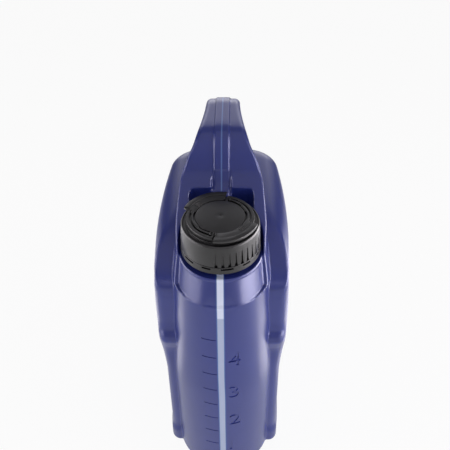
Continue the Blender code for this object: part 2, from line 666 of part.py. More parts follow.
def make_spout_cap(material):
    """The spout's screw cap: disc, groove for the wings, rim with a gap under each tab, and skirt."""
    ceiling = CAP_UNDERSIDE - 0.6 * MM + GAP + LINER_THICKNESS + GAP
    inner = SPOUT_RADIUS + CAP_SKIRT_ROOM
    outer = inner + CAP_SKIRT_WALL
    rim_inner = CAP_RIM_RADIUS - CAP_RIM_WIDTH
    rim_top = GROOVE_FLOOR + CAP_RIM_RISE
    disc_top = GROOVE_FLOOR + CAP_DISC_RISE
    low = CAP_UNDERSIDE - CAP_SKIRT_LENGTH
    outside = [(outer, low), (outer, CAP_UNDERSIDE), (CAP_RIM_RADIUS, CAP_UNDERSIDE), (CAP_RIM_RADIUS, rim_top - 0.4 * MM),
               (CAP_RIM_RADIUS - 0.4 * MM, rim_top), (rim_inner, rim_top), (rim_inner, GROOVE_FLOOR),
               (CAP_DISC_RADIUS, GROOVE_FLOOR), (CAP_DISC_RADIUS, disc_top - 0.3 * MM), (CAP_DISC_RADIUS - 0.3 * MM, disc_top)]
    cap = solid_of_revolution("spout_cap", outside)
    hollow = solid_of_revolution("hollow", [(inner, low - MM), (inner, ceiling)])
    combine(cap, hollow, "DIFFERENCE")
    for side in range(2):
        start = WING_AXIS_ANGLE + side * math.pi + math.radians(1.0)
        gap = sector("tab_gap", rim_inner - 0.2 * MM, CAP_RIM_RADIUS + MM, GROOVE_FLOOR, rim_top + MM,
                     start, start + WING_TAB_SPAN + math.radians(2.0), 12)
        combine(cap, gap, "DIFFERENCE")
    bridge_half = WING_HINGE_OFFSET - WING_THICKNESS / 2.0 - GAP
    bridge = slab_across_hinges("bridge", -bridge_half, bridge_half, GROOVE_FLOOR - 0.5 * MM, disc_top - 0.3 * MM,
                                rim_inner + 0.1 * MM)
    combine(cap, bridge, "UNION")
    return finish(cap, "spout_cap", material)


def make_wing(name, side, material):
    """A folding wing: a half ring in the groove with knuckles at its ends and a finger tab over the rim."""
    inner = CAP_DISC_RADIUS + WING_CLEARANCE
    outer = CAP_RIM_RADIUS - CAP_RIM_WIDTH - WING_CLEARANCE
    low = GROOVE_FLOOR + GAP
    start = WING_AXIS_ANGLE + side * math.pi
    first = math.asin(WING_HINGE_OFFSET / outer)
    outline = arc(inner, math.pi - math.asin(WING_HINGE_OFFSET / inner), math.asin(WING_HINGE_OFFSET / inner), 20)
    outline += arc(WING_TIP_RADIUS, first * outer / WING_TIP_RADIUS, WING_TAB_SPAN - 0.07, 12)
    outline += arc(outer, WING_TAB_SPAN, math.pi - first, 12)
    rings = [[polar(radius, start + angle, z) for radius, angle in outline] for z in (low, low + WING_THICKNESS)]
    wing = loft(name, rings)
    along = Vector((math.cos(start), math.sin(start), 0.0))
    across = Vector((-along.y, along.x, 0.0))
    centre = Vector((0.0, NECK_Y, WING_AXIS_Z)) + across * WING_HINGE_OFFSET
    radius = WING_THICKNESS / 2.0 - 0.1 * MM
    for end in (-1.0, 1.0):
        pin = bmesh.new()
        bmesh.ops.create_cone(pin, cap_ends=True, segments=12, radius1=radius, radius2=radius,
                              depth=outer - inner - 0.4 * MM)
        turn = Matrix.Rotation(start, 4, "Z") @ Matrix.Rotation(math.pi / 2.0, 4, "Y")
        place = centre + along * end * (inner + outer) / 2.0
        bmesh.ops.transform(pin, matrix=Matrix.Translation(place) @ turn, verts=pin.verts)
        combine(wing, object_from_bmesh("knuckle", pin), "UNION")
    return finish(wing, name, material, origin=centre)


def arc(radius, start, end, steps):
    """Points of an arc as (radius, angle) pairs."""
    return [(radius, start + (end - start) * step / steps) for step in range(steps + 1)]


def finish(made, name, material, origin=None):
    """Names an object, gives it its material and smooth shading, and sets its origin on its axis."""
    made.name = name
    made.data.name = name
    made.data.materials.clear()
    made.data.materials.append(material)
    origin = Vector((0.0, NECK_Y, 0.0)) if origin is None else origin
    made.data.transform(Matrix.Translation(-origin))
    made.location = origin
    made.data.shade_smooth()
    made.data.set_sharp_from_angle(angle=math.radians(32.0))
    return made


def main():
    """Builds every piece of the jug."""
    clear_scene()
    blue = plastic("blue_polyethylene", (0.016, 0.026, 0.150), 0.38)
    black = plastic("black_polypropylene", (0.012, 0.012, 0.013), 0.42)
    grey = plastic("grey_spout", (0.30, 0.31, 0.32), 0.45)
    foam = plastic("white_foam", (0.80, 0.80, 0.78), 0.8)
    amber = plastic("engine_oil", (0.55, 0.30, 0.05), 0.08)
    make_bottle(blue)
    make_oil(amber)
    make_closure(black)
    make_band(black)
    make_gasket(foam)
    make_spout(grey)
    make_liner(foam)
    make_spout_cap(black)
    make_wing("wing_left", 0, black)
    make_wing("wing_right", 1, black)


main()
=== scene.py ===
"""Motor oil jug: screw closure, pull-out spout and a cap with folding wings, dressed round its CAD frame.

The classes hold their sizes in millimetres in the jug's own plan: x to the right, y behind the neck's axis,
z up from the floor. A mesh turns into metres and moves to the frame's place when it is made.
"""

from __future__ import annotations

import logging
import math
from collections.abc import Callable, Sequence
from dataclasses import dataclass, field
from enum import Enum

import bmesh
import bpy
import numpy as np
from bpy.types import Material, Mesh, Node, NodeOutputs, NodeSocket, NodeTree, Object
from mathutils import Matrix, Vector

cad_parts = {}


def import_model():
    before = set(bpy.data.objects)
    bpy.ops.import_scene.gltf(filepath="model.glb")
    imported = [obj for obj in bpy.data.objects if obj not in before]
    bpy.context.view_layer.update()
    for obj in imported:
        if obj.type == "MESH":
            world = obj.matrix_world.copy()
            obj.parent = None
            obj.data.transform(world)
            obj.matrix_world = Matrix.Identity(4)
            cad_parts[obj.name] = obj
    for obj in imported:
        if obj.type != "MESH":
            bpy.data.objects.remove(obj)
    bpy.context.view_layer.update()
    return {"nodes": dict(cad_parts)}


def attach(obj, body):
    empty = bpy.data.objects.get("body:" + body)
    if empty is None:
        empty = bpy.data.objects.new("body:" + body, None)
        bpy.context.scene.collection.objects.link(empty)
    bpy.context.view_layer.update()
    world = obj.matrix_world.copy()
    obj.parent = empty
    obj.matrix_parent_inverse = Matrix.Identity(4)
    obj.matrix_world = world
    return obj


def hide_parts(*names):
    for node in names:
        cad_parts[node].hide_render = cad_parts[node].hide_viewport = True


LOG = logging.getLogger("oil_jug")
MM = 0.001
NECK_Y = -55.7
FULL_TURN = 2.0 * math.pi

Point = tuple[float, float]
Array = np.ndarray
Distance = Callable[[Array, Array, Array], Array]


class Rides(Enum):
    """The bodies that the pieces move with."""

    JUG = "jug"
    SEAL = "seal"
    CLOSURE = "closure"
    SPOUT = "spout"
    CAP_SEAL = "cap_seal"
    SPOUT_CAP = "spout_cap"
    WING_LEFT = "wing_left"
    WING_RIGHT = "wing_right"


class Change(Enum):
    """What a tool does to a solid."""

    CUT = "DIFFERENCE"
    JOIN = "UNION"


def linear(colour: str) -> tuple[float, float, float, float]:
    """Turns an sRGB hex colour into linear light.

    Args:
        colour: Six hex digits, with or without a leading hash.

    Returns:
        Red, green, blue and full alpha.
    """
    digits = colour.lstrip("#")
    parts = [int(digits[i:i + 2], 16) / 255.0 for i in (0, 2, 4)]
    red, green, blue = (c / 12.92 if c <= 0.04045 else ((c + 0.055) / 1.055) ** 2.4 for c in parts)
    return red, green, blue, 1.0


def add(tree: NodeTree, kind: str, links: dict | None = None, **settings: object) -> Node:
    """Adds a node with its settings, and fills or links its inputs.

    Args:
        tree: The node tree of a material, a world or a Geometry Nodes modifier.
        kind: The node's type name.
        links: Input name or number to a value, to an output, or to a node whose first live output is meant.
        settings: Properties of the node itself.

    Returns:
        The new node.
    """
    node = tree.nodes.new(kind)
    for name, value in settings.items():
        setattr(node, name, value)
    for place, value in (links or {}).items():
        if isinstance(value, Node):
            value = next(output for output in value.outputs if output.enabled)
        if isinstance(value, NodeSocket):
            tree.links.new(value, node.inputs[place])
        else:
            node.inputs[place].default_value = value
    return node


def rounded_max(a: Array, b: Array, radius: float | Array) -> Array:
    """Cuts one distance by another and rounds the outer edge between them.

    Args:
        a: First distance, negative inside.
        b: Second distance.
        radius: Radius of the edge.

    Returns:
        Distance to the part that lies inside both.
    """
    outside = np.hypot(np.maximum(a + radius, 0.0), np.maximum(b + radius, 0.0))
    return outside + np.minimum(np.maximum(a + radius, b + radius), 0.0) - radius


def rounded_min(a: Array, b: Array, radius: float | Array) -> Array:
    """Joins two distances with a fillet of the radius in the inner corner between them."""
    return -rounded_max(-a, -b, radius)


def oval_edge(along: Array, up: Array, length: float, rise: float | Array, flat: Array) -> Array:
    """Rounds an edge with a quarter of an oval.

    Args:
        along: Way from the oval's middle along its length.
        up: Way from its middle along its rise.
        length: The oval's half length.
        rise: Its half rise.
        flat: Distance to use where the quarter doesn't reach.

    Returns:
        Distance to the rounded part.
    """
    across, over = along / length, up / rise
    reach = np.hypot(across, over)
    grade = np.hypot(across / length, over / rise) / np.maximum(reach, 1e-6)
    return np.where((across > 0.0) & (over > 0.0), (reach - 1.0) / np.maximum(grade, 1e-6), flat)


class Curve:
    """A smooth curve through points that never swings past them."""

    def __init__(self, *points: Point) -> None:
        """Works out the slope at each point, given as (place, value).

        Args:
            points: Places and values.
        """
        self.at, self.value = np.array(points, dtype=float).T
        rise = np.diff(self.value) / np.diff(self.at)
        self.slope = np.zeros_like(self.at)
        before, after = rise[:-1], rise[1:]
        same = before * after > 0.0
        total = np.where(same, before + after, 1.0)
        self.slope[1:-1] = np.where(same, 2.0 * before * after / total, 0.0)
        self.slope[0], self.slope[-1] = rise[0], rise[-1]

    def __call__(self, at: Array) -> Array:
        """Reads the curve; past its ends it keeps the end values.

        Args:
            at: Places to read it at.

        Returns:
            The values there.
        """
        i = np.clip(np.searchsorted(self.at, at) - 1, 0, len(self.at) - 2)
        width = self.at[i + 1] - self.at[i]
        t = np.clip((at - self.at[i]) / width, 0.0, 1.0)
        left, right = width * self.slope[i], width * self.slope[i + 1]
        start = (1.0 + 2.0 * t) * (1.0 - t) ** 2 * self.value[i] + t * (1.0 - t) ** 2 * left
        end = t * t * (3.0 - 2.0 * t) * self.value[i + 1] + t * t * (t - 1.0) * right
        return start + end


def ease(t: Array) -> Array:
    """Eases from 0 to 1."""
    t = np.clip(t, 0.0, 1.0)
    return t * t * (3.0 - 2.0 * t)


def steps(*stretches: tuple[float, float, float]) -> Array:
    """Lays grid lines along an axis.

    Args:
        stretches: Start, end and spacing of each stretch, one after another.

    Returns:
        The places of the lines, rising.
    """
    lines = [np.linspace(start, end, max(2, round((end - start) / gap) + 1))
             for start, end, gap in stretches]
    return np.unique(np.round(np.concatenate(lines), 6))


@dataclass
class SurfaceNet:
    """Turns a distance function into a closed mesh of quads whose corners lie on the surface."""

    xs: Array
    ys: Array
    zs: Array
    rounds: int = 4
    slab: int = 8
    longest_step: float = 0.6
    probe: float = 0.04

    def build(self, distance: Distance) -> tuple[Array, Array]:
        """Finds the surface in the grid.

        Args:
            distance: Signed distance at arrays of x, y and z, negative inside.

        Returns:
            The corners and the quads, which point outwards.
        """
        axes = (self.xs, self.ys, self.zs)
        slabs = [self.xs[i:i + self.slab] for i in range(0, len(self.xs), self.slab)]
        values = np.concatenate([
            distance(*np.meshgrid(slab, self.ys, self.zs, indexing="ij")) for slab in slabs])
        inside = values < 0.0
        cells = tuple(len(axis) - 1 for axis in axes)
        sums = np.zeros((int(np.prod(cells)), 4))
        quads = []
        for axis in range(3):
            low, high = [slice(None)] * 3, [slice(None)] * 3
            low[axis], high[axis] = slice(None, -1), slice(1, None)
            below, above = values[tuple(low)], values[tuple(high)]
            index = np.nonzero(inside[tuple(low)] != inside[tuple(high)])
            first, second = below[index], above[index]
            place = [axes[n][index[n]] for n in range(3)]
            place[axis] = place[axis] + first / (first - second) * np.diff(axes[axis])[index[axis]]
            a, b = (n for n in range(3) if n != axis)
            corners = []
            for shift_a, shift_b in ((-1, -1), (0, -1), (0, 0), (-1, 0)):
                cell = np.array(index)
                cell[a] += shift_a
                cell[b] += shift_b
                corners.append(np.ravel_multi_index(tuple(cell), cells, mode="clip"))
                for n, part in enumerate((*place, 1.0)):
                    np.add.at(sums[:, n], corners[-1], part)
            quad = np.stack(corners, axis=1)
            outward = (first < 0.0) if axis != 1 else (first > 0.0)
            quads.append(np.where(outward[:, None], quad, quad[:, ::-1]))
        used = np.nonzero(sums[:, 3])[0]
        number = np.full(len(sums), -1)
        number[used] = np.arange(len(used))
        points = sums[used, :3] / sums[used, 3:]
        for _ in range(self.rounds):
            value, slope = self.gradient(distance, points)
            move = np.clip(value, -self.longest_step, self.longest_step)[:, None] * slope
            points = points - move / np.maximum((slope ** 2).sum(axis=1), 0.25)[:, None]
        return points, number[np.concatenate(quads)]

    def gradient(self, distance: Distance, points: Array) -> tuple[Array, Array]:
        """Measures the distance and its slope at points.

        Args:
            distance: Signed distance, negative inside.
            points: Where to measure it.

        Returns:
            The distances and their slopes.
        """
        slope = np.empty_like(points)
        for n in range(3):
            step = np.zeros(3)
            step[n] = self.probe
            ahead, behind = points + step, points - step
            slope[:, n] = (distance(*ahead.T) - distance(*behind.T)) / (2.0 * self.probe)
        return distance(*points.T), slope


@dataclass
class JugForm:
    """Form of the blown jug, as a distance to its skin.

    Front, half, lean and column run over the height, the other curves over the way back, and the valley over
    the angle round the neck. Each tilt is the cosine of a leaning face, which keeps its distance true.
    """

    front: Curve = Curve(
        (0, 17), (22, 17), (27, 15.4), (155, 15.4), (162, 16.2), (170, 18.6), (176, 20.2), (181, 19.0),
        (188, 15.6), (197, 14), (260, 14))
    half: Curve = Curve(
        (0, 59.9), (21, 59.9), (27, 58.3), (122, 58.3), (132, 58.8), (142, 59.6), (152, 60.6), (160, 61.6),
        (172, 62.7), (188, 63.2), (205, 63.2), (237, 62.5), (251.1, 61.3), (280, 61.3))
    lean: Curve = Curve((0, 0), (130, 0), (180, 0.03), (240, 0.1), (300, 0.1))
    column: Curve = Curve((0, 48.6), (129.5, 48.6), (171.5, 47.1), (213.5, 44.9), (249.5, 43.4), (260, 43.2))
    spine_half: Curve = Curve(
        (0, 38.3), (13, 39.0), (26, 38.3), (39.5, 36.9), (50, 35.6), (54, 34.6), (57, 33.1), (60, 31.3),
        (62, 29.9), (66, 27.1), (70, 25.0), (76, 22.8), (82, 21.3), (91, 19.8), (105, 17.9), (119, 16.5),
        (130, 16), (160, 16))
    slope: Curve = Curve(
        (45, 313.0), (50, 319.6), (54, 325.1), (62, 335.9), (66, 340.3), (70, 343.9), (76, 347.1),
        (83, 348.5), (91, 348.7), (160, 348.7))
    ramp: Curve = Curve(
        (20, 289.0), (34.2, 302.5), (37.2, 305.5), (45.0, 313.0), (46.5, 314.9), (50, 319.6), (54, 325.1),
        (62, 335.9))
    valley: Curve = Curve(
        (0, 0), (22, 0), (30, 0.35), (40, 1.0), (50, 2.0), (60, 3.0), (70, 3.9), (90, 5.1), (180, 5.1))
    lip_front: float = 14.0
    waist_half: float = 58.3
    waist_sink: float = 0.75
    corner: float = 8.0
    rear_corner: float = 26.0
    foot_edge: float = 7.0
    side_tilt: float = 0.985
    rear: float = 160.0
    bow: float = 0.19
    bow_length: float = 115.0
    crown_foot: float = 251.1
    crown_reach: float = 27.0
    crown_rise: float = 23.0
    crown_fall: float = 12.0
    brow_back: float = 76.0
    brow_length: float = 90.0
    brow_foot: float = 231.5
    brow_rise: float = 46.0
    neck_floor: float = 274.5
    cone_foot: float = 249.5
    cone_radius: float = 43.4
    cone_rise: float = 23.6
    cone_tilt: float = 0.95
    collar: float = 35.2
    pocket_radius: float = 36.4
    notch_half: float = 28.0
    notch_back: float = 39.5
    rail_flare: float = 0.215
    rail_flare_most: float = 5.1
    rail_foot: float = 248.8
    rail_foot_rear: float = 209.0
    rail_tilt: float = 0.93
    rail_slope: float = 0.70
    ledge_slope: float = 0.63
    ledge_height: float = 313.1
    ledge_tilt: float = 0.83
    slope_tilt: float = 0.60
    handle_corner: float = 40.0
    rib_half: float = 6.5
    rib_height: float = 1.4
    channel_half: float = 8.5
    channel_back: float = 51.0
    ramp_tilt: float = 0.66
    handle_underside: float = 324.7
    opening_front: float = 68.2
    opening_lean: float = 0.118
    opening_foot: float = 219.5
    opening_rear: float = 138.0
    opening_corner: float = 14.0
    base_half: float = 45.3
    base_front: float = 13.0
    base_rear: float = 147.0
    base_recess: float = 3.0

    def cheeks(self, x: Array, y: Array, z: Array) -> Array:
        """Distance to the wide body with its bowed sides, crown, lip and base.

        Args:
            x: Way from the jug's middle plane.
            y: Way back from the neck's axis.
            z: Height.

        Returns:
            Distance in millimetres, negative inside.
        """
        behind = y + self.lip_front
        level = z - behind * self.lean(z)
        level = z - behind * self.lean(level)
        half = self.half(level)
        bowed = half * (1.0 - self.bow * ((y - self.rear + self.bow_length) / self.bow_length) ** 2)
        side = (x - bowed) * self.side_tilt
        sunk = self.waist_sink * np.maximum(self.waist_half - half, 0.0)
        plan = np.maximum(rounded_max(side, -self.front(level) - y, self.corner),
                          rounded_max(side, y - self.rear + sunk, self.rear_corner))
        rise = self.crown_rise - self.crown_fall * np.clip(y / self.rear, 0.0, 1.0)
        above = level - self.crown_foot
        flat = np.maximum(plan, above - rise)
        crown = oval_edge(plan + self.crown_reach, above, self.crown_reach, rise, flat)
        return rounded_max(rounded_max(crown, self.brow(y, z), 1.5), -z, self.foot_edge)

    def brow(self, y: Array, z: Array) -> Array:
        """Distance to the long rounding that brings the cheeks' tops down to their front.

        Args:
            y: Way back from the neck's axis.
            z: Height.

        Returns:
            Distance in millimetres, negative inside.
        """
        ahead, above = self.brow_back - y, z - self.brow_foot
        flat = np.maximum(ahead - self.brow_length + 0.6 * np.minimum(above, 0.0), above - self.brow_rise)
        return oval_edge(ahead, above, self.brow_length, self.brow_rise, flat)

    def front_column(self, x: Array, y: Array, z: Array) -> Array:
        """Distance to the half-round column and the steep shoulder that carries the neck.

        Args:
            x: Way from the jug's middle plane.
            y: Way back from the neck's axis.
            z: Height.

        Returns:
            Distance in millimetres, negative inside.
        """
        reach = np.where(y < 0.0, np.hypot(x, y), np.maximum(x, y + 3.5))
        shaft = reach - self.column(z)
        foot_radius = self.cone_radius - self.valley(np.degrees(np.arctan2(x, -y)))
        above = z - self.cone_foot
        cone = (reach - foot_radius + above * (foot_radius - self.collar) / self.cone_rise) * self.cone_tilt
        corner = 0.7 + 2.6 * ease((17.0 - x) / 9.0)
        form = rounded_min(rounded_max(shaft, above, 0.7), rounded_max(shaft, cone, corner), 0.4)
        flare = 5.0 * np.maximum(self.neck_floor - 2.0 - z, 0.0)
        form = rounded_max(form, reach - self.collar - flare, 0.5)
        form = rounded_max(form, z - self.neck_floor, 1.3)
        return rounded_max(form, -z, self.foot_edge)

    def rib(self, x: Array) -> Array:
        """Height of the rib that runs down the middle of the slope and the channel."""
        return self.rib_height * ease((self.rib_half + 0.6 - x) / 1.2)

    def spine(self, x: Array, y: Array, z: Array) -> Array:
        """Distance to the rails beside the neck, the slope, the handle and its grip.

        Args:
            x: Way from the jug's middle plane.
            y: Way back from the neck's axis.
            z: Height.

        Returns:
            Distance in millimetres, negative inside.
        """
        flare = np.clip(self.rail_flare * (self.neck_floor - z), 0.0, self.rail_flare_most)
        side = (np.hypot(x, np.minimum(y, 0.0)) - self.spine_half(y) - flare) * self.rail_tilt
        grade = np.where(y < self.notch_back, self.rail_slope, self.ledge_slope)
        above_ledge = (z - self.ledge_height - grade * (y - self.notch_back)) * self.ledge_tilt
        tilt = self.slope_tilt + (1.0 - self.slope_tilt) * ease((y - 66.0) / 16.0)
        above_slope = (z - self.slope(y)) * tilt - self.rib(x)
        top = np.where(y < 45.0, above_ledge, rounded_min(above_ledge, above_slope, 1.2))
        top = rounded_max(np.where(y > 70.0, above_slope, top), y - self.rear, self.handle_corner)
        edge = 1.3 + 3.7 * ease((y - 44.0) / 12.0)
        face = (0.38 * (z - self.cone_foot) - 15.5 - y) * self.rail_tilt
        form = rounded_max(rounded_max(side, top, edge), face, 0.8)
        grip = self.opening_front + self.opening_lean * (z - self.opening_foot)
        opening = rounded_max(rounded_max(grip - y, y - self.opening_rear, 0.01), z - self.handle_underside,
                              self.opening_corner)
        form = rounded_max(form, -opening, 8.0)
        form = rounded_max(form, -self.channel(x, y, z), 0.8)
        fall = (self.rail_foot - self.rail_foot_rear) * ease((6.0 - y) / 6.0)
        return np.maximum(form, self.rail_foot_rear + fall - z)

    def channel(self, x: Array, y: Array, z: Array) -> Array:
        """Distance to the channel that carries the slope through the ledge, with sides that draw in.

        Args:
            x: Way from the jug's middle plane.
            y: Way back from the neck's axis.
            z: Height.

        Returns:
            Distance in millimetres, negative inside.
        """
        floor = self.ramp(y) + self.rib(x) + 1.2 * ease((y - 50.0) / 3.0)
        side = x - self.channel_half - 0.12 * np.maximum(z - floor, 0.0)
        return np.maximum(rounded_max(side, (floor - z) * self.ramp_tilt, 1.0), y - self.channel_back)

    def tongue(self, x: Array, y: Array, z: Array) -> Array:
        """Distance to the ramp under the channel, which stands in the middle of the notch."""
        above = z - self.ramp(y) - self.rib(x)
        return rounded_max(x - self.channel_half - 0.7, above * self.ramp_tilt, 0.8)

    def pocket(self, x: Array, y: Array, z: Array) -> Array:
        """Distance to the recess round the closure, with its square notch and the tongue left standing.

        Args:
            x: Way from the jug's middle plane.
            y: Way back from the neck's axis.
            z: Height.

        Returns:
            Distance in millimetres, negative inside.
        """
        well = np.hypot(x, y) - self.pocket_radius
        notch = np.maximum(rounded_max(x - self.notch_half, y - self.notch_back, 5.0), -y)
        plan = np.minimum(well, rounded_max(notch, -self.tongue(x, y, z), 0.8))
        return rounded_max(plan, self.neck_floor - z, 1.5)

    def base(self, x: Array, y: Array, z: Array) -> Array:
        """Distance to the shallow recess under the base.

        Args:
            x: Way from the jug's middle plane.
            y: Way back from the neck's axis.
            z: Height.

        Returns:
            Distance in millimetres, negative inside.
        """
        side = x - self.base_half * (1.0 - self.bow * ((y - 45.0) / self.bow_length) ** 2)
        plan = np.maximum(rounded_max(side, -self.base_front - y, self.base_front),
                          rounded_max(side, y - self.base_rear, self.base_front))
        return rounded_max(plan + 0.8 * z, z - self.base_recess, 2.0)

    def distance(self, x: Array, y: Array, z: Array) -> Array:
        """Distance to the jug's outer skin, negative inside.

        Args:
            x: Way from the jug's middle plane.
            y: Way back from the neck's axis.
            z: Height.

        Returns:
            Distance in millimetres, negative inside.
        """
        x = np.abs(x)
        form = rounded_min(self.cheeks(x, y, z), self.front_column(x, y, z), 0.7)
        form = rounded_min(form, self.spine(x, y, z), 1.2)
        form = rounded_max(form, -self.pocket(x, y, z), 0.9)
        return rounded_max(form, -self.base(x, y, z), 1.5)


def mesh_object(name: str, points: Sequence[Sequence[float]], faces: Sequence[Sequence[int]]) -> Object:
    """Makes an object from corners in the jug's millimetres.

    Args:
        name: Name of the object and its mesh.
        points: Corners, relative to the neck's axis.
        faces: Corner numbers of each face.

    Returns:
        The object, at the origin, with its place in its mesh.
    """
    data = bpy.data.meshes.new(name)
    place = (np.asarray(points, dtype=float) + (0.0, NECK_Y, 0.0)) * MM
    data.from_pydata(place.tolist(), [], [list(map(int, face)) for face in faces])
    data.validate()
    made = bpy.data.objects.new(name, data)
    bpy.context.scene.collection.objects.link(made)
    return made





def cleaned(made: Object, merge: float = 0.0) -> Object:
    """Merges doubles closer than the given millimetres and turns the faces outwards.

    Args:
        made: The object.
        merge: Greatest gap between doubles, or 0 to leave them.

    Returns:
        The same object.
    """
    mesh = bmesh.new()
    mesh.from_mesh(made.data)
    if merge > 0.0:
        bmesh.ops.remove_doubles(mesh, verts=mesh.verts, dist=merge * MM)
    bmesh.ops.recalc_face_normals(mesh, faces=mesh.faces)
    mesh.to_mesh(made.data)
    mesh.free()
    return made


def filleted(corners: Sequence[tuple[float, float, float]], count: int = 4) -> list[Point]:
    """Rounds the corners of a closed outline.

    Args:
        corners: Two coordinates and the radius of each corner.
        count: Steps in each rounded corner.

    Returns:
        The outline's points in order.
    """
    outline: list[Point] = []
    for i, (a, b, radius) in enumerate(corners):
        here = Vector((a, b))
        before = Vector(corners[i - 1][:2]) - here
        after = Vector(corners[(i + 1) % len(corners)][:2]) - here
        turn = before.angle(after, math.pi)
        if radius <= 0.0 or turn > math.pi - 0.02:
            outline.append((a, b))
            continue
        reach = min(radius / math.tan(turn / 2.0), 0.49 * before.length, 0.49 * after.length)
        start, end = here + before.normalized() * reach, here + after.normalized() * reach
        for step in range(count + 1):
            t = step / count
            bent = start * (1.0 - t) ** 2 + here * 2.0 * t * (1.0 - t) + end * t * t
            outline.append((bent.x, bent.y))
    return outline


def turned(name: str, profile: Sequence[Point], segments: int = 144) -> Object:
    """Turns a closed profile round the neck's axis.

    Args:
        name: Name of the object.
        profile: Points as (radius, height); one that starts and ends on the axis stays open there.
        segments: Steps of the turn.

    Returns:
        The turned solid.
    """
    count = len(profile)
    open_end = profile[0][0] == 0.0 and profile[-1][0] == 0.0
    points, faces = [], []
    for step in range(segments):
        angle = FULL_TURN * step / segments
        points += [(r * math.cos(angle), r * math.sin(angle), z) for r, z in profile]
        here, ahead = step * count, (step + 1) % segments * count
        for i in range(count - 1 if open_end else count):
            above = (i + 1) % count
            faces.append((here + i, ahead + i, ahead + above, here + above))
    return cleaned(mesh_object(name, points, faces), 0.0005)


def stacked(name: str, rings: Sequence[Sequence[Sequence[float]]]) -> Object:
    """Joins rings of corners, one over the other, into a solid with a cap at each end.

    Args:
        name: Name of the object.
        rings: The corners of each ring.

    Returns:
        The closed solid.
    """
    count, last = len(rings[0]), len(rings) - 1
    faces: list[Sequence[int]] = [range(count), range(last * count, (last + 1) * count)]
    for low in range(0, last * count, count):
        for i in range(count):
            ahead = (i + 1) % count
            faces.append((low + i, low + ahead, low + count + ahead, low + count + i))
    return cleaned(mesh_object(name, [corner for ring in rings for corner in ring], faces))


def plate(name: str, outline: Sequence[Point], low: float, high: float, edge: float) -> Object:
    """Makes a flat plate with rounded rims from its outline.

    Args:
        name: Name of the object.
        outline: Points of the rim, in the plan.
        low: Height of the underside.
        high: Height of the top.
        edge: Radius of both rims.

    Returns:
        The plate as a closed mesh.
    """
    rim = np.array(outline)
    ahead = np.roll(rim, -1, axis=0)
    along = ahead - rim
    along /= np.linalg.norm(along, axis=1)[:, None]
    back = np.roll(along, 1, axis=0)
    middle = along + back
    middle /= np.linalg.norm(middle, axis=1)[:, None]
    inward = np.stack((-middle[:, 1], middle[:, 0]), axis=1)
    area = 0.5 * np.sum(rim[:, 0] * ahead[:, 1] - ahead[:, 0] * rim[:, 1])
    half_turn = np.sqrt((1.0 + (along * back).sum(axis=1)) / 2.0)
    inward *= math.copysign(1.0, area) / np.maximum(half_turn, 0.5)[:, None]
    turns = [math.radians(degrees) for degrees in (0, 30, 60, 90)]
    rings = [(edge * (1.0 - math.sin(turn)), low + edge * (1.0 - math.cos(turn))) for turn in turns]
    rings += [(inset, high + low - z) for inset, z in reversed(rings)]
    return stacked(name, [[(x, y, z) for x, y in rim + inward * inset] for inset, z in rings])


def polar_arc(radius: float, start: float, end: float, count: int) -> list[Point]:
    """Points of an arc about the neck's axis, angles in degrees."""
    angles = [math.radians(start + (end - start) * step / count) for step in range(count + 1)]
    return [(radius * math.cos(a), radius * math.sin(a)) for a in angles]


def combine(target: Object, tool: Object, change: Change) -> Object:
    """Cuts the tool out of the target or joins it on, and removes the tool.

    Args:
        target: The solid.
        tool: The other solid.
        change: What the tool does.

    Returns:
        The changed solid.
    """
    modifier = target.modifiers.new("combine", "BOOLEAN")
    modifier.operation, modifier.solver, modifier.object = change.value, "MANIFOLD", tool
    target.data = evaluated_mesh(target)
    target.modifiers.clear()
    bpy.data.objects.remove(tool)
    return target


def evaluated_mesh(made: Object) -> Mesh:
    """Returns the mesh that an object's modifiers give."""
    bpy.context.view_layer.update()
    return bpy.data.meshes.new_from_object(made.evaluated_get(bpy.context.evaluated_depsgraph_get()))


class Growth:
    """Geometry Nodes tree with named sizes, in metres and radians, whose result becomes a plain mesh."""

    NAME: str
    SIZES: dict[str, float]

    def __init__(self, finish: Material) -> None:
        """Makes the sockets, lays the nodes and ends in real geometry with the finish.

        Args:
            finish: Material of the result.
        """
        self.tree = bpy.data.node_groups.new(self.NAME, "GeometryNodeTree")
        sockets = self.tree.interface
        sockets.new_socket("Element", in_out="INPUT", socket_type="NodeSocketGeometry")
        for name, value in self.SIZES.items():
            kind = "NodeSocketInt" if isinstance(value, int) else "NodeSocketFloat"
            sockets.new_socket(name, in_out="INPUT", socket_type=kind).default_value = value
        sockets.new_socket("Result", in_out="OUTPUT", socket_type="NodeSocketGeometry")
        laid = self.lay(self.tree, add(self.tree, "NodeGroupInput").outputs)
        real = add(self.tree, "GeometryNodeRealizeInstances", {"Geometry": laid})
        dressed = add(self.tree, "GeometryNodeSetMaterial", {"Geometry": real, "Material": finish})
        add(self.tree, "NodeGroupOutput", {0: dressed})

    def lay(self, tree: NodeTree, given: NodeOutputs) -> Node:
        """Lays the nodes between the given sizes and the returned one."""
        raise NotImplementedError

    def grow(self, made: Object, **sizes: float) -> Object:
        """Runs the tree on an object and keeps the result as its mesh.

        Args:
            made: The object that the tree starts from.
            sizes: Values of the tree's inputs, spaces written as underscores.

        Returns:
            The same object.
        """
        grown = made.modifiers.new(self.NAME, "NODES")
        grown.node_group = self.tree
        for item in self.tree.interface.items_tree:
            name = item.name.replace(" ", "_")
            if name in sizes:
                grown[item.identifier] = sizes[name]
        made.data = evaluated_mesh(made)
        made.modifiers.clear()
        return made


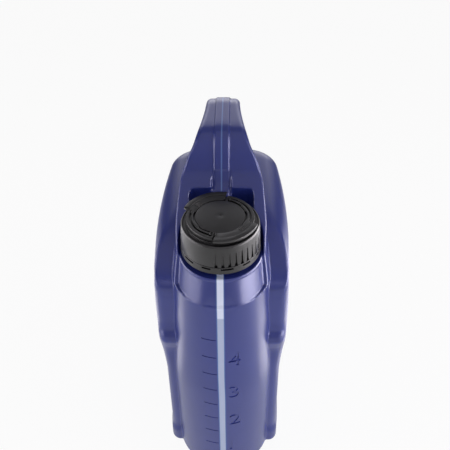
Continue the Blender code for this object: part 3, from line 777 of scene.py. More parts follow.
class RingPattern(Growth):
    """Repeats an element round the neck's axis in one or more zones; it is modelled about the origin."""

    NAME = "ring_pattern"
    SIZES = {"Count": 10, "Per Zone": 10, "Start": 0.0, "Pitch": 0.1, "Zone Turn": math.pi}

    def lay(self, tree: NodeTree, given: NodeOutputs) -> Node:
        """Puts an instance at each turn, worked out from its number.

        Args:
            tree: The tree.
            given: Its inputs.

        Returns:
            The node that gives the pattern.
        """
        axis = add(tree, "GeometryNodeMeshLine", {
            "Count": given["Count"], "Start Location": (0.0, NECK_Y * MM, 0.0), "Offset": (0.0, 0.0, 0.0)})
        number = add(tree, "GeometryNodeInputIndex")
        zone = add(tree, "ShaderNodeMath", {0: number, 1: given["Per Zone"]}, operation="DIVIDE")
        zone = add(tree, "ShaderNodeMath", {0: zone}, operation="FLOOR")
        turn = add(tree, "ShaderNodeMath", {0: number, 1: given["Per Zone"]}, operation="MODULO")
        turn = add(tree, "ShaderNodeMath", {0: turn, 1: given["Pitch"], 2: given["Start"]},
                   operation="MULTIPLY_ADD")
        turn = add(tree, "ShaderNodeMath", {0: zone, 1: given["Zone Turn"], 2: turn},
                   operation="MULTIPLY_ADD")
        rotation = add(tree, "ShaderNodeCombineXYZ", {"Z": turn})
        return add(tree, "GeometryNodeInstanceOnPoints", {
            "Points": axis, "Instance": given["Element"], "Rotation": rotation})


class Thread(Growth):
    """Winds a trapezoid ridge round the neck's axis, thin at both ends."""

    NAME = "thread"
    SIZES = {"Turns": 1.5, "Radius": 0.03, "Rise": 0.006, "Foot": 0.3, "Root": 0.002, "Crest": 0.001,
             "Depth": 0.001}

    def lay(self, tree: NodeTree, given: NodeOutputs) -> Node:
        """Sweeps the ridge's section along a spiral.

        Args:
            tree: The tree.
            given: Its inputs.

        Returns:
            The node that gives the ridge.
        """
        path = add(tree, "GeometryNodeCurveSpiral", {
            "Resolution": 96, "Rotations": given["Turns"], "Start Radius": given["Radius"],
            "End Radius": given["Radius"], "Height": given["Rise"]})
        length = add(tree, "GeometryNodeSplineParameter")
        start, end = (add(tree, "ShaderNodeMapRange", {
            "Value": length, "From Min": tip, "From Max": full, "To Min": 0.15, "To Max": 1.0})
            for tip, full in ((0.0, 0.08), (1.0, 0.92)))
        thin = add(tree, "ShaderNodeMath", {0: start, 1: end}, operation="MINIMUM")
        shape = add(tree, "GeometryNodeCurvePrimitiveQuadrilateral", {
            "Bottom Width": given["Root"], "Top Width": given["Crest"], "Height": given["Depth"],
            "Offset": 0.0}, mode="TRAPEZOID")
        ridge = add(tree, "GeometryNodeCurveToMesh", {
            "Curve": path, "Profile Curve": shape, "Scale": thin, "Fill Caps": True})
        foot = add(tree, "ShaderNodeCombineXYZ", {"Y": NECK_Y * MM, "Z": given["Foot"]})
        return add(tree, "GeometryNodeTransform", {"Geometry": ridge, "Translation": foot})

    def wind(self, name: str, **sizes: float) -> Object:
        """Winds one thread; sizes are in millimetres and turns."""
        metres = {size: value if size == "Turns" else value * MM for size, value in sizes.items()}
        return cleaned(self.grow(mesh_object(name, [(0.0, 0.0, 0.0)], []), **metres))


def new_material(name: str) -> tuple[Material, NodeTree]:
    """Makes a material with an empty tree.

    Args:
        name: Name of the material.

    Returns:
        The material and its tree.
    """
    made = bpy.data.materials.new(name)
    made.use_nodes = True
    made.node_tree.nodes.clear()
    return made, made.node_tree


def finish_plastic(tree: NodeTree, cloud: Node, roughness: Point,
                   layers: Sequence[tuple[float, float, float]], links: dict) -> None:
    """Ends a plastic's tree with its relief, its shader and the output.

    Args:
        tree: The material's tree.
        cloud: Noise that the roughness follows.
        roughness: Least and greatest roughness.
        layers: Grain in millimetres, strength and depth in millimetres of each layer of relief.
        links: The shader's other inputs.
    """
    place = add(tree, "ShaderNodeTexCoord").outputs["Object"]
    relief: dict = {}
    for grain, strength, depth in layers:
        noise = add(tree, "ShaderNodeTexNoise", {"Vector": place, "Scale": 1.0 / (grain * MM), "Detail": 2.0})
        bump = {"Height": noise, "Strength": strength, "Distance": depth * MM}
        relief = {"Normal": add(tree, "ShaderNodeBump", bump | relief)}
    rough = add(tree, "ShaderNodeMapRange", {"Value": cloud, "To Min": roughness[0], "To Max": roughness[1]})
    shader = add(tree, "ShaderNodeBsdfPrincipled", {"Roughness": rough} | links | relief)
    add(tree, "ShaderNodeOutputMaterial", {"Surface": shader})


@dataclass(frozen=True)
class BlownPolyethylene:
    """High-density polyethylene, blown against a blasted mould: satin, a little waxy, with a sight strip."""

    name: str = "blown_polyethylene"
    body: str = "#26358A"
    body_deep: str = "#202E7C"
    strip_empty: str = "#E2ECFF"
    strip_oiled: str = "#B0BEDA"
    strip_fringe: str = "#3B78C4"
    handle_line: str = "#5E7FC4"
    strip_half: float = 2.75
    strip_fade: float = 0.35
    strip_wander: float = 1.2
    oil_level: float = 236.3
    roughness: Point = (0.28, 0.37)
    cloud: float = 71.4286
    flow_mark: float = 16.66667
    grain: float = 0.9

    def material(self) -> Material:
        """Builds the jug's finish.

        Returns:
            A material that reads Object coordinates for the strip, the flow marks and the grain.
        """
        made, tree = new_material(self.name)
        place = add(tree, "ShaderNodeTexCoord").outputs["Object"]
        parts = add(tree, "ShaderNodeSeparateXYZ", {0: place}).outputs
        cloud = add(tree, "ShaderNodeTexNoise", {
            "Vector": place, "Scale": 1.0 / (self.cloud * MM), "Detail": 3.0, "Roughness": 0.55})
        colour = add(tree, "ShaderNodeMix", {
            "Factor": cloud, "A": linear(self.body), "B": linear(self.body_deep)}, data_type="RGBA")
        # The strip runs down the mould's parting plane, so it is the plane x = 0 with a slow wander
        drift = add(tree, "ShaderNodeTexNoise", {"W": parts["Z"], "Scale": 9.0, "Detail": 1.0},
                    noise_dimensions="1D")
        wander = self.strip_wander * MM
        drift = add(tree, "ShaderNodeMath", {0: drift, 1: wander, 2: -wander / 2.0}, operation="MULTIPLY_ADD")
        aside = add(tree, "ShaderNodeMath", {0: parts["X"], 1: drift}, operation="ADD")
        aside = add(tree, "ShaderNodeMath", {0: aside}, operation="ABSOLUTE")
        front = add(tree, "ShaderNodeMath", {0: parts["Y"], 1: (NECK_Y - 20.0) * MM}, operation="LESS_THAN")
        back = add(tree, "ShaderNodeMath", {0: parts["Y"], 1: (NECK_Y + 30.0) * MM}, operation="GREATER_THAN")
        low, high = (self.oil_level - 0.8) * MM, (self.oil_level + 0.8) * MM
        oiled = add(tree, "ShaderNodeMapRange", {"Value": parts["Z"], "From Min": low, "From Max": high})
        clear = add(tree, "ShaderNodeMix", {
            "Factor": oiled, "A": linear(self.strip_oiled), "B": linear(self.strip_empty)}, data_type="RGBA")
        # Each layer over the blue: where its fade starts and ends, its strength, its side, its colour
        inner, outer = self.strip_half - self.strip_fade, self.strip_half + self.strip_fade
        layers = ((0.35, 0.85, 0.75, back, linear(self.handle_line)),
                  (self.strip_half, self.strip_half + 1.3, 0.75, front, linear(self.strip_fringe)),
                  (inner, outer, 1.0, front, clear))
        for start, end, strength, side, over in layers:
            fade = add(tree, "ShaderNodeMapRange", {
                "Value": aside, "From Min": start * MM, "From Max": end * MM, "To Min": strength,
                "To Max": 0.0})
            fade = add(tree, "ShaderNodeMath", {0: fade, 1: side}, operation="MULTIPLY")
            colour = add(tree, "ShaderNodeMix", {"Factor": fade, "A": colour, "B": over}, data_type="RGBA")
        relief = ((self.flow_mark, 0.05, 1.0), (self.grain, 0.04, 0.3))
        finish_plastic(tree, cloud, self.roughness, relief, {
            "Base Color": colour, "IOR": 1.54, "Specular IOR Level": 0.55})
        return made


@dataclass(frozen=True)
class MouldedPlastic:
    """Injection-moulded plastic: even colour with faint flow marks and rubbed, paler spots."""

    name: str
    colour: str
    rubbed: str
    roughness: float
    ior: float = 1.49
    grain: float = 0.35
    wear: float = 0.25
    cloud: float = 11.11111
    spread: float = 0.08

    def material(self) -> Material:
        """Builds the finish.

        Returns:
            A material that reads Object coordinates for its marks and grain.
        """
        made, tree = new_material(self.name)
        place = add(tree, "ShaderNodeTexCoord").outputs["Object"]
        cloud = add(tree, "ShaderNodeTexNoise", {
            "Vector": place, "Scale": 1.0 / (self.cloud * MM), "Detail": 4.0, "Roughness": 0.6})
        worn = add(tree, "ShaderNodeMapRange", {
            "Value": cloud, "From Min": 0.50, "From Max": 0.75, "To Min": 0.0, "To Max": self.wear})
        colour = add(tree, "ShaderNodeMix", {
            "Factor": worn, "A": linear(self.colour), "B": linear(self.rubbed)}, data_type="RGBA")
        limits = (self.roughness - self.spread, self.roughness + self.spread)
        finish_plastic(tree, cloud, limits, ((self.grain, 0.10, 0.1),), {
            "Base Color": colour, "IOR": self.ior, "Specular IOR Level": 0.6})
        return made


@dataclass
class Finishes:
    """The materials of the whole jug, made once."""

    jug: Material = field(default_factory=BlownPolyethylene().material)
    black: Material = field(default_factory=MouldedPlastic(
        "moulded_polypropylene", "#121214", "#2A2A2C", 0.34).material)
    grey: Material = field(default_factory=MouldedPlastic(
        "soft_polyethylene", "#8E9094", "#A0A2A6", 0.48, 1.51).material)
    foam: Material = field(default_factory=MouldedPlastic(
        "foamed_polyethylene_sheet", "#E4E4E0", "#D8D8D2", 0.75, 1.50, 0.6).material)
    oil: Material = field(default_factory=MouldedPlastic(
        "engine_oil", "#B07A22", "#B98632", 0.08, 1.47, 5.0, 0.1).material)


def dress(made: Object, finish: Material, rides: Rides, *nodes: str, sharp: float = 40.0) -> None:
    """Shades a piece, gives it its finish and its body, and hides the CAD nodes that it stands for.

    Args:
        made: The piece.
        finish: Its material.
        rides: The body that it moves with.
        nodes: The CAD nodes that it replaces.
        sharp: Angle in degrees over which its edges stay sharp.
    """
    made.data.shade_smooth()
    made.data.set_sharp_from_angle(angle=math.radians(sharp))
    made.data.materials.clear()
    made.data.materials.append(finish)
    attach(made, rides.value)
    if nodes:
        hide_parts(*nodes)
    LOG.info("%s: %d faces on %s", made.name, len(made.data.polygons), rides.value)


@dataclass
class Jug:
    """The blown jug with its neck, thread and level marks."""

    finishes: Finishes
    form: JugForm = field(default_factory=JugForm)
    neck_radius: float = 29.6
    neck_bore: float = 27.0
    bore_foot: float = 254.0
    neck_floor: float = 274.5
    neck_top: float = 305.0
    mark_top: float = 208.8
    mark_spacing: float = 22.8
    marks: int = 9
    mark_depth: float = 0.5
    mark_half: float = 0.5
    mark_left: float = -17.5
    mark_right: float = -4.5
    numeral_size: float = 24.0
    numeral_left: float = 6.5
    numeral_drop: float = 11.5
    numeral_bend: float = 46.0

    def shell(self) -> Object:
        """Builds the outer skin from the form's distance.

        Returns:
            The closed skin, not yet engraved.
        """
        net = SurfaceNet(
            steps((-65, -45, 2.4), (-45, -26, 0.95), (-26, 26, 1.15), (26, 45, 0.95), (45, 65, 2.4)),
            steps((-51, -42, 1.5), (-42, 60, 1.05), (60, 82, 1.4), (82, 148, 2.2), (148, 162, 1.5)),
            steps((-2, 9, 1.4), (9, 158, 5.5), (158, 196, 1.9), (196, 244, 3.2), (244, 254, 1.0),
                  (254, 268, 1.6), (268, 318, 1.0), (318, 352, 1.25)))
        return mesh_object("jug_shell", *net.build(self.form.distance))

    def neck(self) -> Object:
        """Turns the neck with its bead, mouth and bore.

        Returns:
            The neck.
        """
        radius, bead, floor = self.neck_radius, self.neck_radius + 1.3, self.neck_floor
        profile = filleted([
            (radius, floor - 2.0, 0.0), (radius, floor + 7.4, 0.3), (bead, floor + 8.2, 0.3),
            (bead, floor + 9.0, 0.3), (radius, floor + 9.8, 0.3), (radius, self.neck_top, 0.7),
            (self.neck_bore, self.neck_top, 0.5), (self.neck_bore, floor - 2.0, 0.0)])
        return turned("jug_neck", profile, 160)

    def collar(self) -> Object:
        """Turns the bead at the foot of the neck, whose rounded edges catch the light.

        Returns:
            The bead.
        """
        floor = self.neck_floor
        profile = filleted([
            (33.6, floor - 2.5, 0.0), (34.2, floor + 0.5, 0.4), (35.4, floor + 0.4, 0.5),
            (36.1, floor - 0.9, 0.5), (36.2, floor - 2.6, 0.0)])
        return turned("jug_collar_bead", profile, 180)

    def bar(self, height: float) -> Object:
        """Makes the tool for one engraved level mark, left of the strip on the column's front.

        Args:
            height: Height of its middle.

        Returns:
            A curved bar that reaches a little way into the skin.
        """
        radius = float(self.form.column(np.array(height)))
        ends = (self.mark_left, self.mark_right)
        first, last = (270.0 + math.degrees(math.asin(end / radius)) for end in ends)
        outer = polar_arc(radius + 2.0, first, last, 10)
        outline = outer + polar_arc(radius - self.mark_depth, last, first, 10)
        return plate("level_mark", outline, height - self.mark_half, height + self.mark_half, 0.2)

    def numeral(self, text: str, foot: float) -> Object:
        """Makes the tool for one engraved numeral, bent round the column to the right of the strip.

        Args:
            text: The numeral.
            foot: Height of its foot.

        Returns:
            The numeral as a closed mesh.
        """
        curve = bpy.data.curves.new("level_numeral", "FONT")
        curve.body = text
        curve.size = self.numeral_size
        curve.resolution_u = 3
        curve.extrude = 1.0
        loose = bpy.data.objects.new("level_numeral", curve)
        bpy.context.scene.collection.objects.link(loose)
        flat = evaluated_mesh(loose)
        bpy.data.objects.remove(loose)
        points = np.array([vertex.co[:] for vertex in flat.vertices])
        faces = [list(face.vertices) for face in flat.polygons]
        across, up, depth = points.T
        up = up + foot
        radius = self.form.column(up) + 0.5 + (0.5 + self.mark_depth) * depth
        turn = (across - across.min() + self.numeral_left) / self.numeral_bend
        bent = np.stack((radius * np.sin(turn), -radius * np.cos(turn), up), axis=1)
        return cleaned(mesh_object("level_numeral", bent, faces), 0.01)

    def engrave(self, shell: Object) -> Object:
        """Cuts the mouth's bore, the level marks and the plain numerals of the litres into the shell.

        Args:
            shell: The outer skin.

        Returns:
            The engraved shell.
        """
        foot, top = self.bore_foot, self.neck_floor + 2.0
        bore = turned("mouth_bore", [(0.0, foot), (self.neck_bore, foot), (self.neck_bore, top), (0.0, top)])
        shell = combine(shell, bore, Change.CUT)
        for step in range(self.marks):
            height = self.mark_top - step * self.mark_spacing
            shell = combine(shell, self.bar(height), Change.CUT)
            if step % 2:
                litres = str(self.marks // 2 - step // 2)
                shell = combine(shell, self.numeral(litres, height - self.numeral_drop), Change.CUT)
        return shell

    def build(self) -> None:
        """Makes and dresses the jug's pieces."""
        dress(self.engrave(self.shell()), self.finishes.jug, Rides.JUG, "bottle", sharp=50.0)
        dress(self.collar(), self.finishes.jug, Rides.JUG, sharp=60.0)
        dress(self.neck(), self.finishes.jug, Rides.JUG)
        ridge = Thread(self.finishes.jug).wind(
            "jug_neck_thread", Turns=1.9, Radius=self.neck_radius, Rise=9.5, Foot=self.neck_floor + 14.5,
            Root=2.2, Crest=1.0, Depth=2.0)
        dress(ridge, self.finishes.jug, Rides.JUG)


@dataclass
class Closure:
    """The screw closure: skirt with two ribbed zones, plate with a trough, stop lip, sleeve and thread."""

    finishes: Finishes
    foot: float = 286.8
    top: float = 309.4
    skirt: float = 33.9
    skirt_inner: float = 31.3
    lip: float = 23.0
    sleeve_inner: float = 25.0
    sleeve_outer: float = 26.6
    sleeve_foot: float = 268.2
    zone_start: float = -95.0
    groove_pitch: float = 9.5
    grooves: int = 10
    groove_height: float = 14.0
    groove_foot: float = 2.7
    groove_head: float = 0.9
    groove_floor: float = 32.1

    def body(self) -> Object:
        """Turns the skirt, plate and sleeve, and cuts the grip grooves.

        Returns:
            The closure's solid.
        """
        under = self.top - 2.4
        profile = filleted([
            (self.skirt_inner, self.foot, 0.2), (self.skirt, self.foot, 0.5), (33.0, 306.9, 0.9),
            (32.3, 308.3, 0.5), (31.5, 308.5, 0.3), (31.1, 307.8, 0.3), (29.1, 307.8, 0.3),
            (28.7, self.top, 0.3), (self.lip, self.top, 0.4), (self.lip, under, 0.3),
            (self.sleeve_inner, under, 0.3), (self.sleeve_inner, self.sleeve_foot, 0.3),
            (self.sleeve_outer, self.sleeve_foot, 0.3), (self.sleeve_outer, under, 0.3),
            (self.skirt_inner, under, 0.4)])
        return combine(turned("closure_skirt", profile, 160), self.groove_tool(), Change.CUT)

    def groove_tool(self) -> Object:
        """Repeats one groove, wide and deep at the skirt's foot and narrow at its head, over both zones.

        Returns:
            All grooves as one tool.
        """
        ends = ((self.foot - 1.0, self.groove_foot, self.groove_floor),
                (self.foot + self.groove_height, self.groove_head, self.groove_floor + 0.65))
        points = [(radius, side * share * width - NECK_Y, z) for z, width, floor in ends
                  for radius, share in ((floor, 0.275), (36.0, 0.95)) for side in (-1, 1)]
        faces = [(0, 1, 3, 2), (4, 6, 7, 5), (0, 2, 6, 4), (1, 5, 7, 3), (0, 4, 5, 1), (2, 3, 7, 6)]
        return RingPattern(self.finishes.black).grow(
            cleaned(mesh_object("grip_groove", points, faces)), Count=2 * self.grooves,
            Per_Zone=self.grooves, Start=math.radians(self.zone_start), Pitch=math.radians(self.groove_pitch))

    def build(self) -> None:
        """Makes and dresses the closure."""
        dress(self.body(), self.finishes.black, Rides.CLOSURE, "closure", sharp=35.0)
        ridge = Thread(self.finishes.black).wind(
            "closure_thread", Turns=1.6, Radius=self.skirt_inner, Rise=8.0, Foot=self.foot + 4.6, Root=1.0,
            Crest=2.0, Depth=1.6)
        dress(ridge, self.finishes.black, Rides.CLOSURE)


@dataclass
class TamperBand:
    """The band under the closure, with slits where its bridges have torn."""

    finishes: Finishes
    foot: float = 279.5
    top: float = 286.5
    slits: int = 12
    slit_foot: float = 283.7
    slit_head: float = 285.4

    def body(self) -> Object:
        """Turns the band and cuts its slits.

        Returns:
            The band.
        """
        profile = filleted([
            (30.1, self.foot, 0.3), (34.0, self.foot, 0.5), (34.3, 280.3, 0.6), (33.95, 285.2, 0.5),
            (33.9, self.top, 0.35), (31.3, self.top, 0.2), (31.3, 281.6, 0.3), (30.1, 281.2, 0.3)])
        made = turned("tamper_band_ring", profile, 160)
        for half, start in ((6.6, 10.5), (9.0, 40.5)):
            made = combine(made, self.slit_tool(half, start), Change.CUT)
        return made

    def slit_tool(self, half: float, start: float) -> Object:
        """Repeats a slit of the half angle round the band.

        Args:
            half: Half of the slit's angle, in degrees.
            start: Angle of the first slit.

        Returns:
            Every second slit as one tool.
        """
        outline = polar_arc(36.0, -half, half, 6) + polar_arc(29.0, half, -half, 6)
        outline = [(x, y - NECK_Y) for x, y in outline]
        element = plate("band_slit", outline, self.slit_foot, self.slit_head, 0.12)
        count = self.slits // 2
        return RingPattern(self.finishes.black).grow(
            element, Count=count, Per_Zone=count, Start=math.radians(start), Pitch=FULL_TURN / count)

    def build(self) -> None:
        """Makes and dresses the band."""
        dress(self.body(), self.finishes.black, Rides.JUG, "tamper_band", sharp=35.0)


@dataclass
class Seals:
    """The flat ring under the closure's plate and the disc in the cap."""

    finishes: Finishes

    def build(self) -> None:
        """Turns and dresses both seals, each with a pressed bead."""
        ring = filleted([
            (26.9, 305.3, 0.3), (30.9, 305.3, 0.3), (30.9, 306.7, 0.3), (29.4, 306.7, 0.2),
            (29.2, 306.5, 0.2), (28.6, 306.5, 0.2), (28.4, 306.7, 0.2), (26.9, 306.7, 0.3)])
        dress(turned("neck_gasket_ring", ring), self.finishes.foam, Rides.SEAL, "neck_gasket")
        rim = filleted([
            (18.0, 310.5, 0.0), (18.4, 310.3, 0.2), (19.0, 310.3, 0.2), (19.4, 310.5, 0.2),
            (20.6, 310.5, 0.3), (20.6, 309.5, 0.3), (20.2, 309.5, 0.0)])
        disc = turned("spout_cap_seal", [(0.0, 310.5), *rim, (0.0, 309.5)])
        dress(disc, self.finishes.foam, Rides.CAP_SEAL, "spout_cap_liner")


@dataclass
class Spout:
    """The pull-out spout: a tube with a mouth lip, guide ribs, a thread and the stop flange at its foot."""

    finishes: Finishes
    bore: float = 18.9
    radius: float = 20.5
    foot: float = 268.5
    top: float = 309.2
    flange: float = 24.7
    ribs: int = 12

    def build(self) -> None:
        """Makes and dresses the tube, its ribs and its thread."""
        radius, flange_top = self.radius, self.foot + 2.5
        profile = filleted([
            (self.bore, self.foot, 0.4), (self.flange, self.foot, 0.4), (self.flange, flange_top, 0.4),
            (radius, flange_top, 0.8), (radius, 299.4, 0.2), (radius + 0.5, 299.8, 0.2),
            (radius + 0.5, 300.6, 0.2), (radius, 301.0, 0.2), (radius, self.top, 0.6),
            (self.bore, self.top, 0.5)])
        dress(turned("spout_tube", profile), self.finishes.grey, Rides.SPOUT, "spout")
        root, crest = radius - 0.3, radius + 1.9
        outline = filleted([(root, -0.7, 0.0), (crest, -0.5, 0.3), (crest, 0.5, 0.3), (root, 0.7, 0.0)])
        rib = plate("spout_guide_ribs", [(x, y - NECK_Y) for x, y in outline], self.foot + 2.2, 298.0, 0.3)
        ribs = RingPattern(self.finishes.grey).grow(
            rib, Count=self.ribs, Per_Zone=self.ribs, Pitch=FULL_TURN / self.ribs)
        dress(ribs, self.finishes.grey, Rides.SPOUT)
        ridge = Thread(self.finishes.grey).wind(
            "spout_thread", Turns=1.25, Radius=radius, Rise=5.0, Foot=302.6, Root=1.5, Crest=0.7, Depth=0.9)
        dress(ridge, self.finishes.grey, Rides.SPOUT)


def hinge_line(degrees: float) -> tuple[Vector, Vector]:
    """Directions along the wings' hinge line and square to it, in the plan."""
    turn = math.radians(degrees)
    return Vector((math.cos(turn), math.sin(turn), 0.0)), Vector((-math.sin(turn), math.cos(turn), 0.0))


@dataclass
class SpoutCap:
    """The cap on the spout: disc, groove for the wings, rim with its two gaps, hinge bridge and collar."""

    finishes: Finishes
    disc: float = 20.8
    disc_top: float = 314.2
    disc_crown: float = 0.8
    groove: float = 311.8
    rim_inner: float = 25.5
    rim_outer: float = 28.3
    rim_top: float = 313.4
    axis_angle: float = 77.0
    gap_angle: float = 86.0
    bore: float = 21.2

    def build(self) -> None:
        """Makes and dresses the cap with its thread."""
        top, skirt, under = self.disc_top, 309.8, 310.8
        crown = [(r, top - self.disc_crown * (r / self.disc) ** 2) for r in (1.5, 5.0, 9.0, 13.0, 16.5, 19.0)]
        rim = filleted([
            (20.0, top - 0.925 * self.disc_crown, 0.0), (self.disc, top - self.disc_crown, 0.4),
            (self.disc, self.groove, 0.2), (self.rim_inner, self.groove, 0.2),
            (self.rim_inner, self.rim_top, 0.35), (self.rim_outer, self.rim_top, 0.5),
            (self.rim_outer, skirt, 0.3), (22.6, skirt, 0.3),
            (22.6, 302.2, 0.3), (self.bore, 302.2, 0.3), (self.bore, under, 0.3), (20.0, under, 0.0)])
        dimple = [(0.0, top - 0.35), (0.7, top - 0.33), (1.1, top - 0.1)]
        made = turned("spout_cap_body", [*dimple, *crown, *rim, (0.0, under)], 160)
        for start in (self.axis_angle + 1.0, self.axis_angle + 181.0):
            end = start + self.gap_angle
            outline = polar_arc(31.0, start, end, 30) + polar_arc(25.3, end, start, 30)
            made = combine(made, plate("tab_gap", outline, self.groove, 316.0, 0.1), Change.CUT)
        made = combine(made, self.bridge(), Change.JOIN)
        dress(made, self.finishes.black, Rides.SPOUT_CAP, "spout_cap", sharp=35.0)
        ridge = Thread(self.finishes.black).wind(
            "spout_cap_thread", Turns=1.25, Radius=self.bore, Rise=5.0, Foot=304.6, Root=0.7, Crest=1.5,
            Depth=0.8)
        dress(ridge, self.finishes.black, Rides.SPOUT_CAP)

    def bridge(self) -> Object:
        """Lays the hinge bridge across the groove, on the wings' centre line.

        Returns:
            The bridge.
        """
        along, aside = hinge_line(self.axis_angle)
        corners = [along * 25.6 * a + aside * 0.85 * b for a, b in ((-1, -1), (1, -1), (1, 1), (-1, 1))]
        return plate("hinge_bridge", [(corner.x, corner.y) for corner in corners], 311.3, 313.3, 0.25)


@dataclass
class Wing:
    """One folding half ring with its finger tab, raised grip and hinge knuckles."""

    finishes: Finishes
    rides: Rides
    axis_angle: float
    low: float = 312.1
    ring_top: float = 313.75
    high: float = 314.2
    inner: float = 21.2
    outer: float = 25.1
    slot: float = 1.1
    tab: float = 32.4
    tab_angle: float = 84.0
    grip: float = 27.5
    cut: float = 2.2
    ridges: tuple[float, ...] = (22.6, 24.0, 25.4)
    ridge_half: float = 0.32
    barrel: float = 0.95
    barrel_height: float = 313.15

    def arc(self, radius: float, start: float, end: float, count: int) -> list[Point]:
        """Points of an arc whose angles count from the hinge line, kept clear of the line by the cut.

        Args:
            radius: Radius about the neck's axis.
            start: First angle in degrees.
            end: Last angle.
            count: Steps.

        Returns:
            The arc's points.
        """
        clear = math.degrees(math.asin(self.cut / radius))
        first, last = (self.axis_angle + min(max(angle, clear), 180.0 - clear) for angle in (start, end))
        return polar_arc(radius, first, last, count)

    def outline(self) -> list[Point]:
        """Runs round the half ring, out over the tab and back over the inner edge with its two slots.

        Returns:
            The closed outline.
        """
        tab_foot = self.tab_angle + 2.2
        stretches = (
            (self.tab, 0.0, self.tab_angle, 28), (self.tab - 2.2, self.tab_angle + 2.0, tab_foot, 1),
            (self.outer, tab_foot, 93.0, 4), (self.outer - self.slot, 94.2, 172.0, 26),
            (self.outer, 173.2, 180.0, 2), (self.inner + self.slot, 176.0, 141.5, 14),
            (self.inner, 140.0, 119.5, 8), (self.inner + self.slot, 118.0, 89.5, 10),
            (self.inner, 88.0, 0.0, 30))
        return [point for stretch in stretches for point in self.arc(*stretch)]

    def build(self) -> None:
        """Makes and dresses the wing."""
        made = plate(f"{self.rides.value}_half_ring", self.outline(), self.low, self.ring_top, 0.22)
        foot = self.low + 0.3
        grip = (self.arc(self.tab - 0.02, 1.0, self.tab_angle - 0.6, 28)
                + self.arc(self.grip, self.tab_angle - 1.5, 1.5, 24))
        tools = [plate("tab_grip", grip, foot, self.high, 0.32)]
        for radius in self.ridges:
            ridge = (self.arc(radius + self.ridge_half, 56.0, 71.0, 6)
                     + self.arc(radius - self.ridge_half, 71.0, 56.0, 6))
            tools.append(plate("tab_ridge", ridge, foot, self.ring_top + 0.4, 0.2))
        for tool in (*tools, self.knuckle(-1.0), self.knuckle(1.0)):
            made = combine(made, tool, Change.JOIN)
        dress(made, self.finishes.black, self.rides, self.rides.value, sharp=35.0)

    def knuckle(self, end: float) -> Object:
        """Makes the barrel at one end of the half ring, on the fold's axis.

        Args:
            end: Side of the hinge line, -1 or 1.

        Returns:
            The barrel.
        """
        along, aside = hinge_line(self.axis_angle)
        up = Vector((0.0, 0.0, 1.0))
        angles = [math.radians(degrees) for degrees in range(0, 360, 18)]
        rings = []
        for reach in (21.5, 24.9):
            centre = along * end * reach + aside * self.cut + up * self.barrel_height
            rings.append([centre + (aside * math.cos(angle) + up * math.sin(angle)) * self.barrel
                          for angle in angles])
        return stacked("wing_knuckle", rings)


@dataclass(frozen=True)
class Softbox:
    """A rectangular lamp that faces a point and that the camera doesn't see, in metres and watts."""

    name: str
    place: tuple[float, float, float]
    aim: tuple[float, float, float]
    size: Point
    power: float
    reflected: bool = True
    lights: bool = True

    def hang(self) -> None:
        """Makes the lamp; where it isn't reflected or lights nothing matt, those rays miss it."""
        data = bpy.data.lights.new(self.name, "AREA")
        data.shape = "RECTANGLE"
        data.size, data.size_y = self.size
        data.energy = self.power
        data.color = (1.0, 0.955, 1.0)
        made = bpy.data.objects.new(self.name, data)
        facing = (Vector(self.aim) - Vector(self.place)).to_track_quat("-Z", "Y")
        made.matrix_world = Matrix.Translation(self.place) @ facing.to_matrix().to_4x4()
        made.visible_camera = False
        made.visible_glossy = self.reflected
        made.visible_diffuse = self.lights
        bpy.context.scene.collection.objects.link(made)


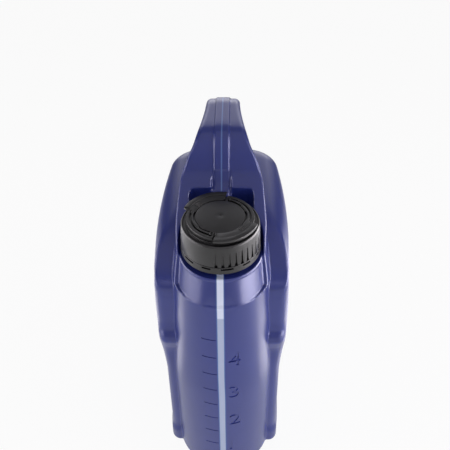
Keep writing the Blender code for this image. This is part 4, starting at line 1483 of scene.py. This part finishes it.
class Studio:
    """Floor, lights and the camera at the photograph's angle."""

    FRAME = 450.0
    FOCAL = 650.0
    SENSOR = 36.0
    TARGET = Vector((0.0, NECK_Y * MM, 308.3 * MM))
    DISTANCE = 538.9 * MM
    ELEVATION = math.radians(40.3)
    YAW = math.radians(2.2)
    ROLL = math.radians(-1.2)
    CENTRE = (220.3, 220.9)
    LAMPS = (
        Softbox("overhead_softbox", (0.25, -0.45, 1.5), (0.1, -0.25, 0.25), (2.2, 1.8), 6.8),
        Softbox("front_bounce", (0.1, -0.75, 0.03), (0.0, -0.1, 0.30), (1.4, 0.5), 4.4, reflected=False),
        Softbox("right_floor_card", (0.22, 0.10, 0.004), (0.22, 0.10, 1.0), (0.15, 0.36), 0.42, lights=False),
        Softbox("left_floor_card", (-0.22, 0.12, 0.004), (-0.22, 0.12, 1.0), (0.15, 0.34), 0.27,
                lights=False),
        Softbox("right_softbox", (0.60, -0.10, 0.17), (0.0, -0.10, 0.17), (1.0, 0.32), 11.0, lights=False),
        Softbox("left_softbox", (-0.60, -0.12, 0.17), (0.0, -0.12, 0.17), (1.0, 0.32), 4.0, lights=False),
        Softbox("right_edge_light", (0.72, -0.10, 0.66), (0.0, 0.0, 0.30), (0.4, 0.5), 4.4, lights=False),
        Softbox("left_edge_light", (-0.72, -0.10, 0.66), (0.0, 0.0, 0.30), (0.4, 0.5), 3.0, lights=False),
        Softbox("front_edge_light", (0.0, -1.2, 0.60), (0.0, 0.0, 0.30), (1.4, 0.26), 2.0, lights=False),
        Softbox("right_fill", (1.3, -0.5, 0.5), (0.0, 0.0, 0.18), (0.8, 0.8), 4.2, reflected=False),
        Softbox("left_fill", (-1.3, -0.5, 0.5), (0.0, 0.0, 0.18), (0.8, 0.8), 3.4, reflected=False))

    def camera(self) -> None:
        """Places the camera that the rings of the closure were solved for."""
        level = self.DISTANCE * math.cos(self.ELEVATION)
        height = self.DISTANCE * math.sin(self.ELEVATION)
        place = self.TARGET + Vector((level * math.sin(self.YAW), -level * math.cos(self.YAW), height))
        ahead = (self.TARGET - place).normalized()
        right = ahead.cross(Vector((0.0, 0.0, 1.0))).normalized()
        up = right.cross(ahead)
        turned_right = right * math.cos(self.ROLL) + up * math.sin(self.ROLL)
        turned_up = up * math.cos(self.ROLL) - right * math.sin(self.ROLL)
        data = bpy.data.cameras.new("camera")
        data.sensor_width = self.SENSOR
        data.lens = self.FOCAL / self.FRAME * self.SENSOR
        data.shift_x = (self.FRAME / 2.0 - self.CENTRE[0]) / self.FRAME
        data.shift_y = (self.CENTRE[1] - self.FRAME / 2.0) / self.FRAME
        data.clip_start = 0.01
        made = bpy.data.objects.new("camera", data)
        turn = Matrix((turned_right, turned_up, -ahead)).transposed().to_4x4()
        made.matrix_world = Matrix.Translation(place) @ turn
        bpy.context.scene.collection.objects.link(made)
        bpy.context.scene.camera = made

    def floor(self) -> None:
        """Lays the pale floor, almost white to the camera and in reflections, with the jug's shadow."""
        bpy.ops.mesh.primitive_plane_add(size=8.0)
        made = bpy.context.object
        made.name = "studio_floor"
        paper, tree = new_material("studio_paper")
        shader = add(tree, "ShaderNodeBsdfPrincipled", {"Base Color": linear("#F2F2F2"), "Roughness": 0.9})
        glow = add(tree, "ShaderNodeEmission", {"Color": linear("#FFFFFF"), "Strength": 1.0})
        path = add(tree, "ShaderNodeLightPath").outputs
        place = add(tree, "ShaderNodeTexCoord").outputs["Object"]
        ahead = add(tree, "ShaderNodeVectorMath", {0: place, 1: (0.0, 0.35, 0.0)}, operation="ADD")
        reach = add(tree, "ShaderNodeVectorMath", {0: ahead}, operation="LENGTH")
        near = add(tree, "ShaderNodeMapRange", {
            "Value": reach, "From Min": 0.7, "From Max": 1.3, "To Min": 0.92, "To Max": 0.1})
        near = add(tree, "ShaderNodeMath", {0: path["Is Glossy Ray"], 1: near}, operation="MULTIPLY")
        seen = add(tree, "ShaderNodeMath", {0: path["Is Camera Ray"], 1: near}, operation="MAXIMUM")
        share = add(tree, "ShaderNodeMath", {0: seen, 1: 0.93}, operation="MULTIPLY")
        mixed = add(tree, "ShaderNodeMixShader", {0: share, 1: shader, 2: glow})
        add(tree, "ShaderNodeOutputMaterial", {"Surface": mixed})
        made.data.materials.append(paper)

    def world(self) -> None:
        """Makes a dim grey room with a bright window behind the jug, white to the camera."""
        world = bpy.data.worlds.new("studio")
        bpy.context.scene.world = world
        world.use_nodes = True
        tree = world.node_tree
        tree.nodes.clear()
        path = add(tree, "ShaderNodeLightPath").outputs
        toward = add(tree, "ShaderNodeTexCoord").outputs["Generated"]
        parts = add(tree, "ShaderNodeSeparateXYZ", {0: toward}).outputs
        across = add(tree, "ShaderNodeMath", {0: parts["X"]}, operation="ABSOLUTE")
        # Each ramp: the direction's part that it reads, start and end, the values there, and how it runs
        ramps = (
            (parts["Y"], 0.0, 0.75, 0.0, 1.0, "SMOOTHSTEP"), (across, 0.28, 0.56, 1.0, 0.0, "SMOOTHSTEP"),
            (parts["Z"], 0.32, 0.68, 2.6, 0.1, "SMOOTHSTEP"), (parts["Z"], 0.3, 1.0, 0.0, 0.08, "LINEAR"),
            (parts["Y"], -0.8, 0.0, 0.06, 0.14, "LINEAR"))
        behind, window, level, above, side = (add(tree, "ShaderNodeMapRange", {
            "Value": part, "From Min": start, "From Max": end, "To Min": first, "To Max": last},
            interpolation_type=run) for part, start, end, first, last, run in ramps)
        patch = add(tree, "ShaderNodeMath", {0: behind, 1: window}, operation="MULTIPLY")
        even = add(tree, "ShaderNodeMath", {0: above, 1: side}, operation="ADD")
        glow = add(tree, "ShaderNodeMath", {0: patch, 1: level, 2: even}, operation="MULTIPLY_ADD")
        room = add(tree, "ShaderNodeBackground", {"Color": linear("#F4F2F6"), "Strength": glow})
        backdrop = add(tree, "ShaderNodeBackground", {"Color": linear("#FFFFFF"), "Strength": 1.0})
        mixed = add(tree, "ShaderNodeMixShader", {0: path["Is Camera Ray"], 1: room, 2: backdrop})
        add(tree, "ShaderNodeOutputWorld", {"Surface": mixed})

    def build(self) -> None:
        """Sets up the whole studio."""
        bpy.context.scene.view_settings.view_transform = "Standard"
        self.world()
        self.floor()
        for lamp in self.LAMPS:
            lamp.hang()
        self.camera()


def main() -> None:
    """Builds the studio and every piece of the jug."""
    logging.basicConfig(level=logging.INFO, format="%(name)s: %(message)s")
    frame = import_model()
    Studio().build()
    finishes = Finishes()
    for slot in frame["nodes"]["oil_fill"].material_slots:
        slot.material = finishes.oil
    for assembly in (Jug, Closure, TamperBand, Seals, Spout, SpoutCap):
        assembly(finishes).build()
    Wing(finishes, Rides.WING_LEFT, 77.0).build()
    Wing(finishes, Rides.WING_RIGHT, 257.0).build()


if __name__ == "__main__":
    main()
